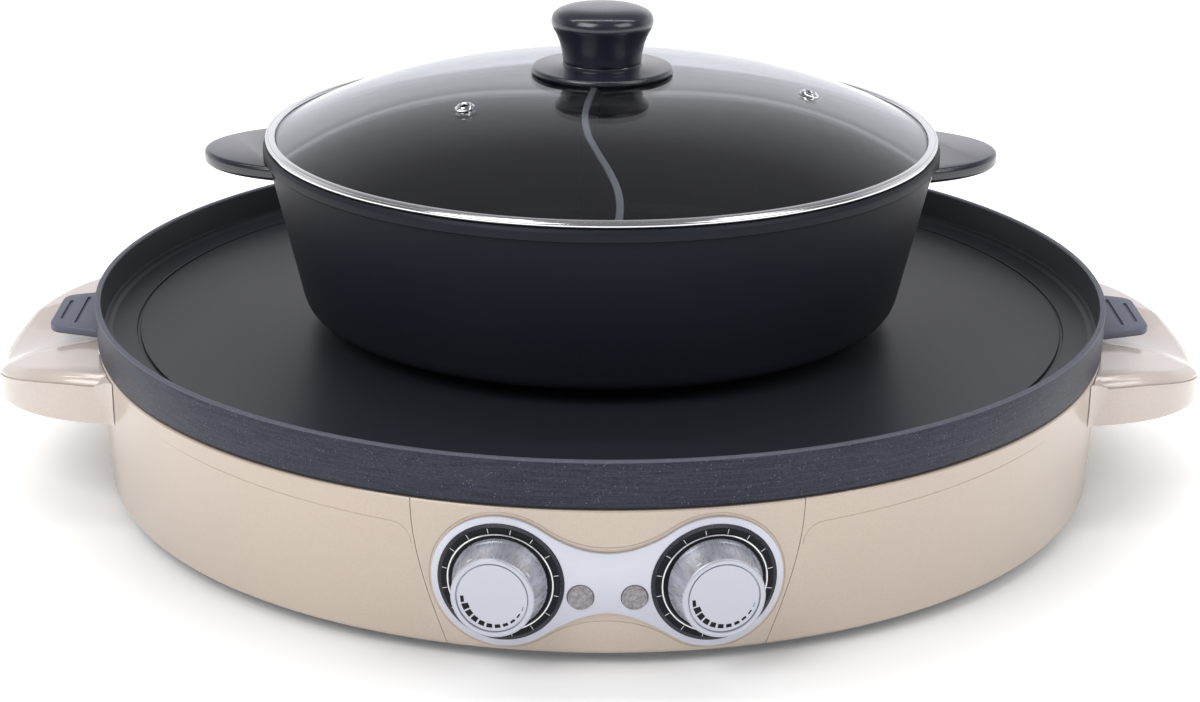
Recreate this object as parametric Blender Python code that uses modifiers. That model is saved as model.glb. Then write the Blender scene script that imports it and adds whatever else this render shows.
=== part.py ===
"""Hot pot and grill combo: a round electric base, a lift-off grill pan, a divided
pot that stands in its middle on a heater of its own, and a glass lid.

Metres, +Z up. The control panel faces -Y. The origin is on the table, under the
middle of the whole outline."""

import math

import bmesh
import bpy
from mathutils import Vector

OBJECT_NAME = "hot_pot_grill_combo"

# Fits shared by all the pieces
SEAT_GAP = 0.0003
RUN_GAP = 0.0006
OVERRUN = 0.002
WALL_CUT_REACH = 0.0117
MERGE_DISTANCE = 0.00001

# Facets round a full turn, and the edge angle that stays sharp
BIG_STEPS = 44
FINE_STEPS = 96
HIDDEN_STEPS = 32
MIDDLE_STEPS = 24
SMALL_STEPS = 12
SCREW_STEPS = 8
SHARP_ANGLE = math.radians(30)

# Base shell: a tapered drum with a stepped ledge inside its rim
FOOT_GAP = 0.005
SHELL_HEIGHT = 0.0593
SHELL_RIM_RADIUS = 0.2192
SHELL_TAPER = 0.0029
SHELL_WALL = 0.0025
SHELL_FOOT_ROUND = 0.0022
PAN_SEAT_WIDTH = 0.0117
REFLECTOR_SEAT_WIDTH = 0.0085
REFLECTOR_SEAT_DROP = 0.0028
COVER_POST_RADIUS = 0.0055
COVER_POST_INSET = 0.0068
COVER_POST_START_DEGREES = 45.0

# Front panel: an insert flush with the drum, narrower at its foot
PANEL_RIM_HALF_WIDTH = 0.0732
PANEL_FOOT_HALF_WIDTH = 0.0596
PANEL_SEAM = 0.0004
PANEL_CURVE_POINTS = 6

# Control plate: two round lobes joined by a waist, lying on the panel
CONTROL_HEIGHT = 0.0295
CONTROL_PITCH = 0.0397514
PLATE_LOBE_RADIUS = 0.0266
PLATE_WAIST_HALF_HEIGHT = 0.01235
PLATE_THICKNESS = 0.0012
PLATE_TANGENT_DEGREES = 55.0
PLATE_WAIST_RISE = 0.0008
PLATE_CURVE_POINTS = 6
DIAL_RING_RADIUS = 0.0233
DIAL_RING_BORE = 0.0192
DIAL_RING_THICKNESS = 0.0006

# Indicator lenses
LENS_RADIUS = 0.00485
LENS_DROP = 0.0048
LENS_PITCH = 0.0099841
LENS_PROUD = 0.0010
LENS_STEM_RADIUS = 0.0035
LENS_STEM_LENGTH = 0.0055

# Control knobs, each on its thermostat shaft
KNOB_LIFT = 0.0010
KNOB_FACE_HEIGHT = 0.0165
KNOB_SKIRT_RADIUS = 0.0180
KNOB_NOSE_RADIUS = 0.0157
KNOB_FACE_RADIUS = 0.0136
KNOB_FACE_RECESS = 0.0005
KNOB_EDGE_ROUND = 0.0006
KNOB_WALL = 0.0016
KNOB_BOSS_RADIUS = 0.0052
SHAFT_RADIUS = 0.0030
SHAFT_FLAT_DEPTH = 0.0010
SHAFT_REACH = 0.0110
THERMOSTAT_WIDTH = 0.0240
THERMOSTAT_DEPTH = 0.0190
THERMOSTAT_NECK_RADIUS = 0.0050
THERMOSTAT_NECK_LENGTH = 0.0030
THERMOSTAT_BORE_DEPTH = 0.0080

# Heat reflector: a pressed steel dish hung on the lower ledge
REFLECTOR_SHEET = 0.0008
REFLECTOR_FLANGE_WIDTH = 0.0082
REFLECTOR_DEPTH = 0.0168
REFLECTOR_SLOPE_WIDTH = 0.0120
REFLECTOR_WIRE_HOLE_RADIUS = 0.0500

# Pot heater: a cast plate on a sleeve in the middle of the dish
HEATER_RADIUS = 0.0860
HEATER_THICKNESS = 0.0120
HEATER_EDGE = 0.0015
HEATER_PROUD_OF_PAN = 0.0069
SLEEVE_RADIUS = 0.0700
SLEEVE_SHEET = 0.0012
SLEEVE_FLANGE_WIDTH = 0.0060

# Grill heater: a sheathed ring on three saddles
ELEMENT_INSET = 0.0490
ELEMENT_TUBE_RADIUS = 0.00325
ELEMENT_DROP_BELOW_PAN = 0.0065
ELEMENT_TERMINAL_HALF_PITCH = 0.0120
ELEMENT_BEND_RADIUS = 0.0080
ELEMENT_TERMINAL_TAIL = 0.0070
ELEMENT_POINTS = 36
SADDLE_COUNT = 3
SADDLE_START_DEGREES = 30.0
SADDLE_WIDTH = 0.0140
SADDLE_THICKNESS = 0.0060

# Bottom cover, feet and power inlet
COVER_LIFT = 0.0020
COVER_THICKNESS = 0.0025
COVER_EDGE_GAP = 0.0006
COVER_VENT_COUNT = 8
COVER_VENT_INSET = 0.0863
COVER_VENT_LENGTH = 0.0300
COVER_VENT_WIDTH = 0.0040
FOOT_INSET = 0.0313
FOOT_RADIUS = 0.0100
FOOT_TAPER = 0.0015
INLET_HEIGHT = 0.0300
INLET_FLANGE_WIDTH = 0.0480
INLET_FLANGE_HEIGHT = 0.0300
INLET_FLANGE_THICKNESS = 0.0040
INLET_BODY_WIDTH = 0.0340
INLET_BODY_HEIGHT = 0.0240
INLET_BODY_DEPTH = 0.0240
INLET_SOCKET_WALL = 0.0025
INLET_SOCKET_DEPTH = 0.0180
INLET_PIN_RADIUS = 0.0020
INLET_PIN_LENGTH = 0.0130
INLET_PIN_PITCH = 0.0080
INLET_PIN_RISE = 0.0040

# Side handles of the base: moulded hollow grips
HANDLE_REACH = 0.0458
HANDLE_PLAN_DEPTH = 0.0750
HANDLE_HALF_WIDTH = 0.0760
HANDLE_PLAN_POWER = 2.5
HANDLE_UNDERSIDE_DROP = 0.0213
HANDLE_WALL = 0.0030
HANDLE_EDGE_ROUND = 0.0025
HANDLE_ANCHOR_DEPTH = 0.0140
HANDLE_ANCHOR_HALF_WIDTH = 0.0220
HANDLE_SHOULDER_DROP = 0.0005
HANDLE_SHOULDER_FALL = 0.0120
HANDLE_THUMB_DROP = 0.0017
HANDLE_THUMB_FALL = 0.0126
HANDLE_THUMB_POWER = 1.3
HANDLE_THUMB_DISH_RADIUS = 0.4065
HANDLE_SECTION_SHARES = (0.0, 0.33, 0.66)
HANDLE_CREASE_LEAST_SHARE = 0.15
HANDLE_CREASE_MOST_SHARE = 0.8
HANDLE_RIDGE_DROP = 0.0020
HANDLE_STATIONS = 17
HANDLE_SCOOP_DEPTH = 0.0055
HANDLE_SCOOP_REACH = 0.0200
HANDLE_SCOOP_HALF_WIDTH = 0.0290
HANDLE_BOSS_DEGREES = 9.0
HANDLE_BOSS_WIDTH = 0.0120
HANDLE_BOSS_DEPTH = 0.0160
HANDLE_BOSS_HEIGHT = 0.0130
HANDLE_BOSS_RECESS = 0.0020

# Grill pan
PAN_FLARE = 0.0008
PAN_DEPTH = 0.0196
PAN_LIP = 0.0025
PAN_LIP_EDGE = 0.0005
PAN_STEP_INSET = 0.0033
PAN_STEP_WIDTH = 0.0034
PAN_STEP_RISE = 0.0010
PAN_SURFACE_RISE = 0.0054
PAN_FLOOR = 0.0045
PAN_RIB_DEPTH = 0.0014
PAN_RIB_WIDTH = 0.0024
PAN_GROOVE_INSET = 0.0165
PAN_GROOVE_WIDTH = 0.0015
PAN_GROOVE_DEPTH = 0.0010
PAN_OPENING_MARGIN = 0.0060
PAN_COLLAR_TOP_WIDTH = 0.0060
PAN_COLLAR_FOOT_WIDTH = 0.0100
PAN_COLLAR_RISE = 0.0060
PAN_LUG_REACH = 0.0128
PAN_LUG_HALF_WIDTH = 0.0120
PAN_LUG_THICKNESS = 0.0018

# Pan grips: plastic tabs screwed over cast lugs
TAB_REACH = 0.0213
TAB_ROOT_HALF_WIDTH = 0.0280
TAB_TIP_HALF_WIDTH = 0.0205
TAB_CORNER_RADIUS = 0.0060
TAB_THICKNESS = 0.0036
TAB_TOP_RISE = 0.0039
TAB_TIP_SLOT_INSET = 0.0045
TAB_ROOT_SLOT_INSET = 0.0115
TAB_SLOT_WIDTH = 0.0012
TAB_SLOT_DEPTH = 0.0008
TAB_TIP_SLOT_LENGTH = 0.0260
TAB_ROOT_SLOT_LENGTH = 0.0360

# Pot
POT_BASE_RADIUS = 0.1291
POT_MOUTH_RADIUS = 0.1443
POT_WALL = 0.0030
POT_HEIGHT = 0.0668
POT_FLOOR = 0.0035
POT_CORNER = 0.0050
POT_BAND_OVERHANG = 0.0017
POT_BAND_HEIGHT = 0.0033
POT_LIP_RISE = 0.0019
POT_LIP_CHAMFER = 0.0010
POT_LIP_WIDTH = 0.0022
LID_LEDGE_DROP = 0.0042
DIVIDER_THICKNESS = 0.0030
DIVIDER_TOP_DROP = 0.0050
DIVIDER_BOW = 0.0065
DIVIDER_STATIONS = 17

# Pot handles: half-oval plates screwed under cast lugs
POT_HANDLE_REACH = 0.0277
POT_HANDLE_PLAN_DEPTH = 0.0620
POT_HANDLE_HALF_WIDTH = 0.0410
POT_HANDLE_THICKNESS = 0.0060
POT_HANDLE_TOP_DROP = 0.0005
POT_HANDLE_POINTS = 17
POT_HANDLE_EDGE = 0.0012
POT_LUG_REACH = 0.0150
POT_LUG_HALF_WIDTH = 0.0100
POT_LUG_THICKNESS = 0.0026
POT_LUG_RISE = 0.0018
POT_SCREW_SHARE = 0.6

# Lid: glass dome in a rolled steel rim
LID_GLASS_THICKNESS = 0.0040
LID_DOME_RISE = 0.0270
LID_DOME_POWER = 2.65
LID_GLASS_HOLE_RADIUS = 0.0040
LID_STATION_SHARES = (0.37, 0.75, 0.88, 1.0)
LID_RIM_SHEET = 0.0008
LID_RIM_TOP_LAP = 0.0012
LID_RIM_SHELF = 0.0028
LID_RIM_OVERHANG = 0.0006
LID_RIM_EDGE_ROUND = 0.0008

# Lid knob with its heat guard
GUARD_RADIUS = 0.0307
GUARD_EDGE = 0.0016
GUARD_COLLAR_RADIUS = 0.0172
GUARD_COLLAR_FOOT_RISE = 0.0029
GUARD_COLLAR_RISE = 0.0045
GUARD_BORE = 0.0030
GRIP_HEIGHT = 0.0239
GRIP_HEAD_RADIUS = 0.0220
GRIP_BORE_DEPTH = 0.0120
GRIP_RADIUS_SHARES = (0.75, 0.89, 0.975, 1.0, 0.975, 0.865, 0.775, 0.782)
GRIP_HEIGHT_SHARES = (1.0, 0.955, 0.85, 0.705, 0.59, 0.38, 0.115, 0.0)

# Steam vents: eyelets through the glass
VENT_FLANGE_RADIUS = 0.0042
VENT_TUBE_RADIUS = 0.0028
VENT_HOLE_RADIUS = 0.0020
VENT_FLANGE_THICKNESS = 0.0006
LEFT_VENT_SHARE = 0.527
LEFT_VENT_DEGREES = -140.0
RIGHT_VENT_SHARE = 0.627
RIGHT_VENT_DEGREES = -7.2

# Screws
SCREW_SHANK_RADIUS = 0.0015
SCREW_HEAD_RADIUS = 0.0030
SCREW_HEAD_HEIGHT = 0.0013
COVER_SCREW_LENGTH = 0.0100
HANDLE_SCREW_LENGTH = 0.0110
TAB_SCREW_LENGTH = 0.0028
POT_SCREW_LENGTH = 0.0040
LID_SCREW_SHANK_RADIUS = 0.0024
LID_SCREW_HEAD_RADIUS = 0.0045
LID_SCREW_HEAD_HEIGHT = 0.0027
WASHER_RADIUS = 0.0090
WASHER_THICKNESS = 0.0010

# Colours (linear RGB), roughness and metallic value of each finish
FINISHES = {
    "champagne_paint": ((0.60, 0.50, 0.41), 0.32, 0.35),
    "pearl_plastic": ((0.72, 0.64, 0.57), 0.30, 0.10),
    "cast_pan_coating": ((0.065, 0.068, 0.085), 0.55, 0.20),
    "dark_plastic": ((0.075, 0.080, 0.105), 0.45, 0.0),
    "pot_enamel": ((0.010, 0.011, 0.018), 0.35, 0.0),
    "black_phenolic": ((0.012, 0.012, 0.013), 0.18, 0.0),
    "smoked_glass": ((0.35, 0.37, 0.42), 0.05, 0.0),
    "polished_steel": ((0.72, 0.72, 0.72), 0.12, 1.0),
    "satin_aluminium": ((0.62, 0.65, 0.72), 0.30, 0.6),
    "silver_plastic": ((0.66, 0.68, 0.73), 0.28, 0.5),
    "dial_black": ((0.015, 0.015, 0.018), 0.40, 0.0),
    "lamp_lens": ((0.30, 0.29, 0.30), 0.20, 0.0),
    "galvanised_steel": ((0.50, 0.51, 0.52), 0.38, 1.0),
    "cast_aluminium": ((0.42, 0.43, 0.44), 0.50, 1.0),
    "element_sheath": ((0.14, 0.14, 0.15), 0.45, 0.9),
    "black_plastic": ((0.020, 0.020, 0.022), 0.50, 0.0),
    "foot_rubber": ((0.025, 0.025, 0.025), 0.85, 0.0),
}

# Heights and radii that follow from the sizes above
SHELL_FOOT_RADIUS = SHELL_RIM_RADIUS - SHELL_TAPER
STEP_RADIUS = SHELL_RIM_RADIUS - PAN_SEAT_WIDTH
LEDGE_BORE = STEP_RADIUS - REFLECTOR_SEAT_WIDTH
ELEMENT_RING_RADIUS = LEDGE_BORE - ELEMENT_INSET
REFLECTOR_SEAT = SHELL_HEIGHT - REFLECTOR_SEAT_DROP
REFLECTOR_FLANGE_BOTTOM = REFLECTOR_SEAT + SEAT_GAP
REFLECTOR_FLOOR = REFLECTOR_FLANGE_BOTTOM - REFLECTOR_DEPTH
REFLECTOR_FLOOR_TOP = REFLECTOR_FLOOR + REFLECTOR_SHEET
HANDLE_UNDERSIDE = SHELL_HEIGHT - HANDLE_UNDERSIDE_DROP
PAN_BOTTOM = SHELL_HEIGHT + SEAT_GAP
PAN_SURFACE = PAN_BOTTOM + PAN_SURFACE_RISE
PAN_UNDERSIDE = PAN_SURFACE - PAN_FLOOR
PAN_RIM = PAN_BOTTOM + PAN_DEPTH
PAN_RIM_RADIUS = SHELL_RIM_RADIUS + PAN_FLARE
ELEMENT_HEIGHT = PAN_UNDERSIDE - ELEMENT_DROP_BELOW_PAN
HEATER_TOP = PAN_SURFACE + HEATER_PROUD_OF_PAN
HEATER_BOTTOM = HEATER_TOP - HEATER_THICKNESS
POT_BOTTOM = HEATER_TOP + SEAT_GAP
POT_BAND_BOTTOM = POT_BOTTOM + POT_HEIGHT
POT_BAND_TOP = POT_BAND_BOTTOM + POT_BAND_HEIGHT
POT_BAND_RADIUS = POT_MOUTH_RADIUS + POT_BAND_OVERHANG
POT_LIP_TOP = POT_BAND_TOP + POT_LIP_RISE
POT_LIP_BORE = POT_BAND_RADIUS - POT_LIP_WIDTH
LID_LEDGE = POT_LIP_TOP - LID_LEDGE_DROP
LID_RIM_BOTTOM = LID_LEDGE + SEAT_GAP
LID_LEG_RADIUS = POT_LIP_BORE - RUN_GAP
LID_GLASS_RADIUS = LID_LEG_RADIUS - LID_RIM_SHEET - SEAT_GAP
LID_GLASS_EDGE_TOP = LID_RIM_BOTTOM + LID_RIM_SHEET + SEAT_GAP + LID_GLASS_THICKNESS
PLATE_LIFT = SEAT_GAP
DIAL_LIFT = PLATE_LIFT + PLATE_THICKNESS + SEAT_GAP
KNOB_BASE = PLATE_LIFT + PLATE_THICKNESS + KNOB_LIFT
SHAFT_BORE_RADIUS = SHAFT_RADIUS + SEAT_GAP
COVER_TOP = COVER_LIFT + COVER_THICKNESS
COVER_RADIUS = SHELL_FOOT_RADIUS - SHELL_WALL - COVER_EDGE_GAP
COVER_VENT_CIRCLE_RADIUS = SHELL_FOOT_RADIUS - COVER_VENT_INSET
FOOT_CIRCLE_RADIUS = SHELL_FOOT_RADIUS - FOOT_INSET


def drum_radius(height):
    """Outer radius of the base at a height above the shell's lower edge."""
    share = height / SHELL_HEIGHT
    return SHELL_FOOT_RADIUS + SHELL_TAPER * share


def turn_along(distance, height):
    """Angle round the drum that a distance along its skin takes up, in radians."""
    return distance / drum_radius(height)


def pan_radius(height):
    """Outer radius of the pan's wall."""
    return SHELL_RIM_RADIUS + PAN_FLARE * (height - PAN_BOTTOM) / PAN_DEPTH


def pot_radius(height):
    """Outer radius of the pot's wall."""
    share = (height - POT_BOTTOM) / POT_HEIGHT
    return POT_BASE_RADIUS + (POT_MOUTH_RADIUS - POT_BASE_RADIUS) * share


def dome_height(radius):
    """Height of the glass's outer face, which curves down ever faster to its edge."""
    share = (radius / LID_GLASS_RADIUS) ** LID_DOME_POWER
    return LID_GLASS_EDGE_TOP + LID_DOME_RISE * (1 - share)


def dome_slope(radius):
    """Fall of the glass's outer face per unit of radius."""
    share = (radius / LID_GLASS_RADIUS) ** (LID_DOME_POWER - 1)
    return LID_DOME_POWER * LID_DOME_RISE / LID_GLASS_RADIUS * share


def facet_sag(radius, steps=BIG_STEPS):
    """How far the middle of a facet lies inside the true circle."""
    return radius * (1 - math.cos(math.pi / steps))


def chord_depth(radius, half_width):
    """How far a straight chord of that half width lies inside its circle."""
    return radius - math.sqrt(radius**2 - half_width**2)


def arc(centre, radius, start, end, points):
    """Points along an arc, angles in degrees."""
    x, y = centre
    angles = [math.radians(start + (end - start) * i / (points - 1)) for i in range(points)]
    return [(x + radius * math.cos(a), y + radius * math.sin(a)) for a in angles]


def rounded(corners, radius, points=5):
    """A closed outline, counter-clockwise, with each corner rounded by one radius."""
    outline = []
    count = len(corners)
    for i in range(count):
        corner = Vector(corners[i])
        back = (Vector(corners[i - 1]) - corner).normalized()
        ahead = (Vector(corners[(i + 1) % count]) - corner).normalized()
        half = back.angle(ahead) / 2
        centre = corner + (back + ahead).normalized() * radius / math.sin(half)
        first = corner + back * radius / math.tan(half) - centre
        start = math.degrees(math.atan2(first.y, first.x))
        turn = 180 - math.degrees(2 * half)
        outline += arc(centre, radius, start, start + turn, points)
    return outline


def rectangle(half_length, half_width):
    return [
        (-half_length, -half_width),
        (half_length, -half_width),
        (half_length, half_width),
        (-half_length, half_width),
    ]


def clear_scene():
    for obj in list(bpy.data.objects):
        bpy.data.objects.remove(obj)


def new_collection(name):
    collection = bpy.data.collections.new(name)
    bpy.context.scene.collection.children.link(collection)
    return collection


clear_scene()
PARTS = new_collection(OBJECT_NAME)
CUTTERS = new_collection(OBJECT_NAME + "_cutters")


def finish_material(name):
    """One Principled material for each finish, made when it is first asked for."""
    if name in bpy.data.materials:
        return bpy.data.materials[name]
    colour, roughness, metallic = FINISHES[name]
    material = bpy.data.materials.new(name)
    material.use_nodes = True
    shader = material.node_tree.nodes["Principled BSDF"]
    shader.inputs["Base Color"].default_value = (*colour, 1)
    shader.inputs["Roughness"].default_value = roughness
    shader.inputs["Metallic"].default_value = metallic
    material.diffuse_color = (*colour, 1)
    return material


def place(name, data, parent, finish=None, location=(0, 0, 0), rotation=(0, 0, 0)):
    """A visible piece where a finish is given, otherwise a hidden cutter."""
    obj = bpy.data.objects.new(name, data)
    obj.parent = parent
    obj.location = location
    obj.rotation_euler = rotation
    if finish is None:
        CUTTERS.objects.link(obj)
        obj.hide_render = True
        obj.display_type = "WIRE"
        return obj
    PARTS.objects.link(obj)
    data.materials.append(finish_material(finish))
    return obj


def axis_empty(name, parent, location=(0, 0, 0), rotation=(0, 0, 0)):
    empty = bpy.data.objects.new(name, None)
    PARTS.objects.link(empty)
    empty.parent = parent
    empty.location = location
    empty.rotation_euler = rotation
    return empty


def turned(name, profile, parent, finish=None, steps=BIG_STEPS, **where):
    """A profile of (radius, height) points turned about the local Z axis.

    It runs down the outer side. One that starts off the axis is a closed ring."""
    mesh = bpy.data.meshes.new(name)
    edges = [(i, i + 1) for i in range(len(profile) - 1)]
    if profile[0][0] > 0:
        edges.append((len(profile) - 1, 0))
    mesh.from_pydata([(radius, 0, height) for radius, height in profile], edges, [])
    obj = place(name, mesh, parent, finish, **where)
    screw = obj.modifiers.new("turn", "SCREW")
    screw.steps = steps
    screw.render_steps = steps
    screw.use_merge_vertices = True
    screw.merge_threshold = MERGE_DISTANCE
    screw.use_smooth_shade = True
    return obj


def rod(name, radius, low, high, parent, finish=None, steps=SMALL_STEPS, **where):
    profile = [(0, high), (radius, high), (radius, low), (0, low)]
    return turned(name, profile, parent, finish, steps, **where)


def mesh_from_curve(name, curve, parent, finish=None, **where):
    """The solid that a curve makes, as a mesh with its caps welded."""
    guide = bpy.data.objects.new(name + "_guide", curve)
    CUTTERS.objects.link(guide)
    graph = bpy.context.evaluated_depsgraph_get()
    mesh = bpy.data.meshes.new_from_object(guide.evaluated_get(graph))
    mesh.name = name
    bpy.data.objects.remove(guide)
    shape = bmesh.new()
    shape.from_mesh(mesh)
    bmesh.ops.remove_doubles(shape, verts=shape.verts, dist=MERGE_DISTANCE)
    bmesh.ops.recalc_face_normals(shape, faces=shape.faces)
    shape.to_mesh(mesh)
    shape.free()
    mesh.materials.clear()
    return place(name, mesh, parent, finish, **where)


def slab(name, outlines, low, high, parent, finish=None, **where):
    """Flat outlines in the local XY plane, filled between low and high."""
    curve = bpy.data.curves.new(name, "CURVE")
    curve.dimensions = "2D"
    curve.fill_mode = "BOTH"
    curve.extrude = (high - low) / 2
    for outline in outlines:
        spline = curve.splines.new("POLY")
        spline.points.add(len(outline) - 1)
        for point, (x, y) in zip(spline.points, outline):
            point.co = (x, y, 0, 1)
        spline.use_cyclic_u = True
    obj = mesh_from_curve(name, curve, parent, finish, **where)
    for vertex in obj.data.vertices:
        vertex.co.z += (high + low) / 2
    return obj


def tube(name, path, radius, parent, finish=None, **where):
    """A round tube along a path of points, with closed ends."""
    curve = bpy.data.curves.new(name, "CURVE")
    curve.dimensions = "3D"
    curve.bevel_depth = radius
    curve.bevel_resolution = 2
    curve.use_fill_caps = True
    spline = curve.splines.new("POLY")
    spline.points.add(len(path) - 1)
    for point, place_on_path in zip(spline.points, path):
        point.co = (*place_on_path, 1)
    return mesh_from_curve(name, curve, parent, finish, **where)


def block(name, low, high, parent, finish=None, **where):
    """A box between two opposite corners."""
    mesh = bpy.data.meshes.new(name)
    shape = bmesh.new()
    bmesh.ops.create_cube(shape, size=1)
    for vertex in shape.verts:
        for i in range(3):
            middle = (low[i] + high[i]) / 2
            vertex.co[i] = middle + vertex.co[i] * (high[i] - low[i])
    shape.to_mesh(mesh)
    shape.free()
    return place(name, mesh, parent, finish, **where)


def combine(obj, others, operation="DIFFERENCE"):
    """Cuts the others from the object, or joins them to it."""
    for other in others:
        boolean = obj.modifiers.new(other.name, "BOOLEAN")
        boolean.operation = operation
        boolean.solver = "EXACT"
        boolean.object = other
    return obj


def machine_screw(name, shank, length, head, head_height, parent, **where):
    """A screw with its head above the local origin and its shank below it."""
    profile = [(0, head_height), (head, head_height), (head, 0), (shank, 0), (shank, -length), (0, -length)]
    return turned(name, profile, parent, "polished_steel", SCREW_STEPS, **where)


def drum_band(name, inner, outer, low, high, parent, finish=None, steps=BIG_STEPS):
    """A ring that follows the drum's taper, between two offsets from its surface."""
    profile = [
        (drum_radius(high) + outer, high),
        (drum_radius(low) + outer, low),
        (drum_radius(low) + inner, low),
        (drum_radius(high) + inner, high),
    ]
    return turned(name, profile, parent, finish, steps)


def radial_empty(name, parent, degrees, radius, height):
    """An empty whose local Z points straight out of the drum, 0 degrees being the front."""
    angle = math.radians(degrees)
    location = (radius * math.sin(angle), -radius * math.cos(angle), height)
    return axis_empty(name, parent, location, (math.pi / 2, 0, angle))


def panel_outline(inset):
    """The front panel seen from the front: upright at the rim, drawn in at the foot."""
    edge = []
    for i in range(PANEL_CURVE_POINTS):
        share = i / (PANEL_CURVE_POINTS - 1)
        spread = math.sin(share * math.pi / 2)
        half_width = PANEL_FOOT_HALF_WIDTH + (PANEL_RIM_HALF_WIDTH - PANEL_FOOT_HALF_WIDTH) * spread
        edge.append((half_width - inset, share * SHELL_HEIGHT))
    foot, rim = edge[0][0], edge[-1][0]
    edge = [(foot, -OVERRUN)] + edge + [(rim, SHELL_HEIGHT + OVERRUN)]
    return edge + [(-x, z) for x, z in reversed(edge)]


def front_prism(name, outlines, base):
    """Outlines seen from the front, run through the front wall of the drum."""
    upright = (math.pi / 2, 0, 0)
    near = SHELL_RIM_RADIUS + WALL_CUT_REACH
    far = SHELL_FOOT_RADIUS * math.cos(2 * turn_along(CONTROL_PITCH, CONTROL_HEIGHT)) - WALL_CUT_REACH
    return slab(name, outlines, far, near, base, rotation=upright)


def make_shell(base, post_axes, handle_axes):
    ledge_bottom = SHELL_HEIGHT - SHELL_WALL
    step_outside = STEP_RADIUS + SHELL_WALL
    seat_bottom = REFLECTOR_SEAT - SHELL_WALL
    profile = [
        (SHELL_RIM_RADIUS, SHELL_HEIGHT),
        (drum_radius(SHELL_FOOT_ROUND), SHELL_FOOT_ROUND),
        (SHELL_FOOT_RADIUS - SHELL_FOOT_ROUND / 2, 0),
        (SHELL_FOOT_RADIUS - SHELL_WALL, 0),
        (drum_radius(ledge_bottom) - SHELL_WALL, ledge_bottom),
        (step_outside, ledge_bottom),
        (step_outside, seat_bottom),
        (LEDGE_BORE, seat_bottom),
        (LEDGE_BORE, REFLECTOR_SEAT),
        (STEP_RADIUS, REFLECTOR_SEAT),
        (STEP_RADIUS, SHELL_HEIGHT),
    ]
    shell = turned("base_shell", profile, base, "champagne_paint")
    wall = drum_band(
        "panel_wall_cutter", -SHELL_WALL - SEAT_GAP, OVERRUN, -OVERRUN, SHELL_HEIGHT + OVERRUN, base
    )
    opening = front_prism("panel_opening_outline", [panel_outline(-PANEL_SEAM)], base)
    combine(wall, [opening], "INTERSECT")
    combine(shell, [wall])
    posts = []
    bores = []
    for i, pivot in enumerate(post_axes):
        low = COVER_TOP + SEAT_GAP
        high = REFLECTOR_SEAT - SHELL_WALL / 2
        posts.append(rod(f"cover_post_{i + 1}", COVER_POST_RADIUS, low, high, pivot))
        reach = COVER_SCREW_LENGTH + OVERRUN
        bores.append(rod(f"cover_post_bore_{i + 1}", SCREW_SHANK_RADIUS + SEAT_GAP, 0, reach, pivot))
    combine(shell, posts, "UNION")
    combine(shell, bores)
    holes = []
    for i, pivot in enumerate(handle_axes):
        radius = SCREW_SHANK_RADIUS + SEAT_GAP
        holes.append(rod(f"handle_hole_{i + 1}", radius, -WALL_CUT_REACH, WALL_CUT_REACH, pivot))
    combine(shell, holes)
    combine(shell, [inlet_body("inlet_opening", base, SEAT_GAP)])


def post_empties(base):
    """The four upright axes of the cover's posts, between the feet and the wall."""
    radius = SHELL_FOOT_RADIUS - SHELL_WALL - COVER_POST_INSET
    empties = []
    for i in range(4):
        angle = math.radians(COVER_POST_START_DEGREES + 90 * i)
        spot = (radius * math.cos(angle), radius * math.sin(angle), 0)
        empties.append(axis_empty(f"cover_post_axis_{i + 1}", base, spot))
    return empties


def handle_screw_empties(base):
    """Outward axes of the handle screws, two to each side handle."""
    height = HANDLE_UNDERSIDE + HANDLE_BOSS_RECESS + HANDLE_BOSS_HEIGHT / 2
    empties = []
    for i, middle in enumerate((-90, -90, 90, 90)):
        degrees = middle + HANDLE_BOSS_DEGREES * (-1) ** i
        empties.append(
            radial_empty(f"handle_screw_axis_{i + 1}", base, degrees, drum_radius(height), height)
        )
    return empties


def make_front_panel(base, knob_axes, lens_axes):
    band = drum_band(
        "front_panel", -SHELL_WALL, 0, 0, SHELL_HEIGHT, base, "champagne_paint"
    )
    combine(band, [front_prism("front_panel_outline", [panel_outline(0)], base)], "INTERSECT")
    reach = WALL_CUT_REACH
    cutters = []
    for name, axis in knob_axes.items():
        radius = THERMOSTAT_NECK_RADIUS + SEAT_GAP
        cutters.append(rod(f"{name}_neck_hole", radius, -reach, reach, axis))
    for name, axis in lens_axes.items():
        radius = LENS_STEM_RADIUS + SEAT_GAP
        cutters.append(rod(f"{name}_stem_hole", radius, -reach, reach, axis))
    combine(band, cutters)


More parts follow.
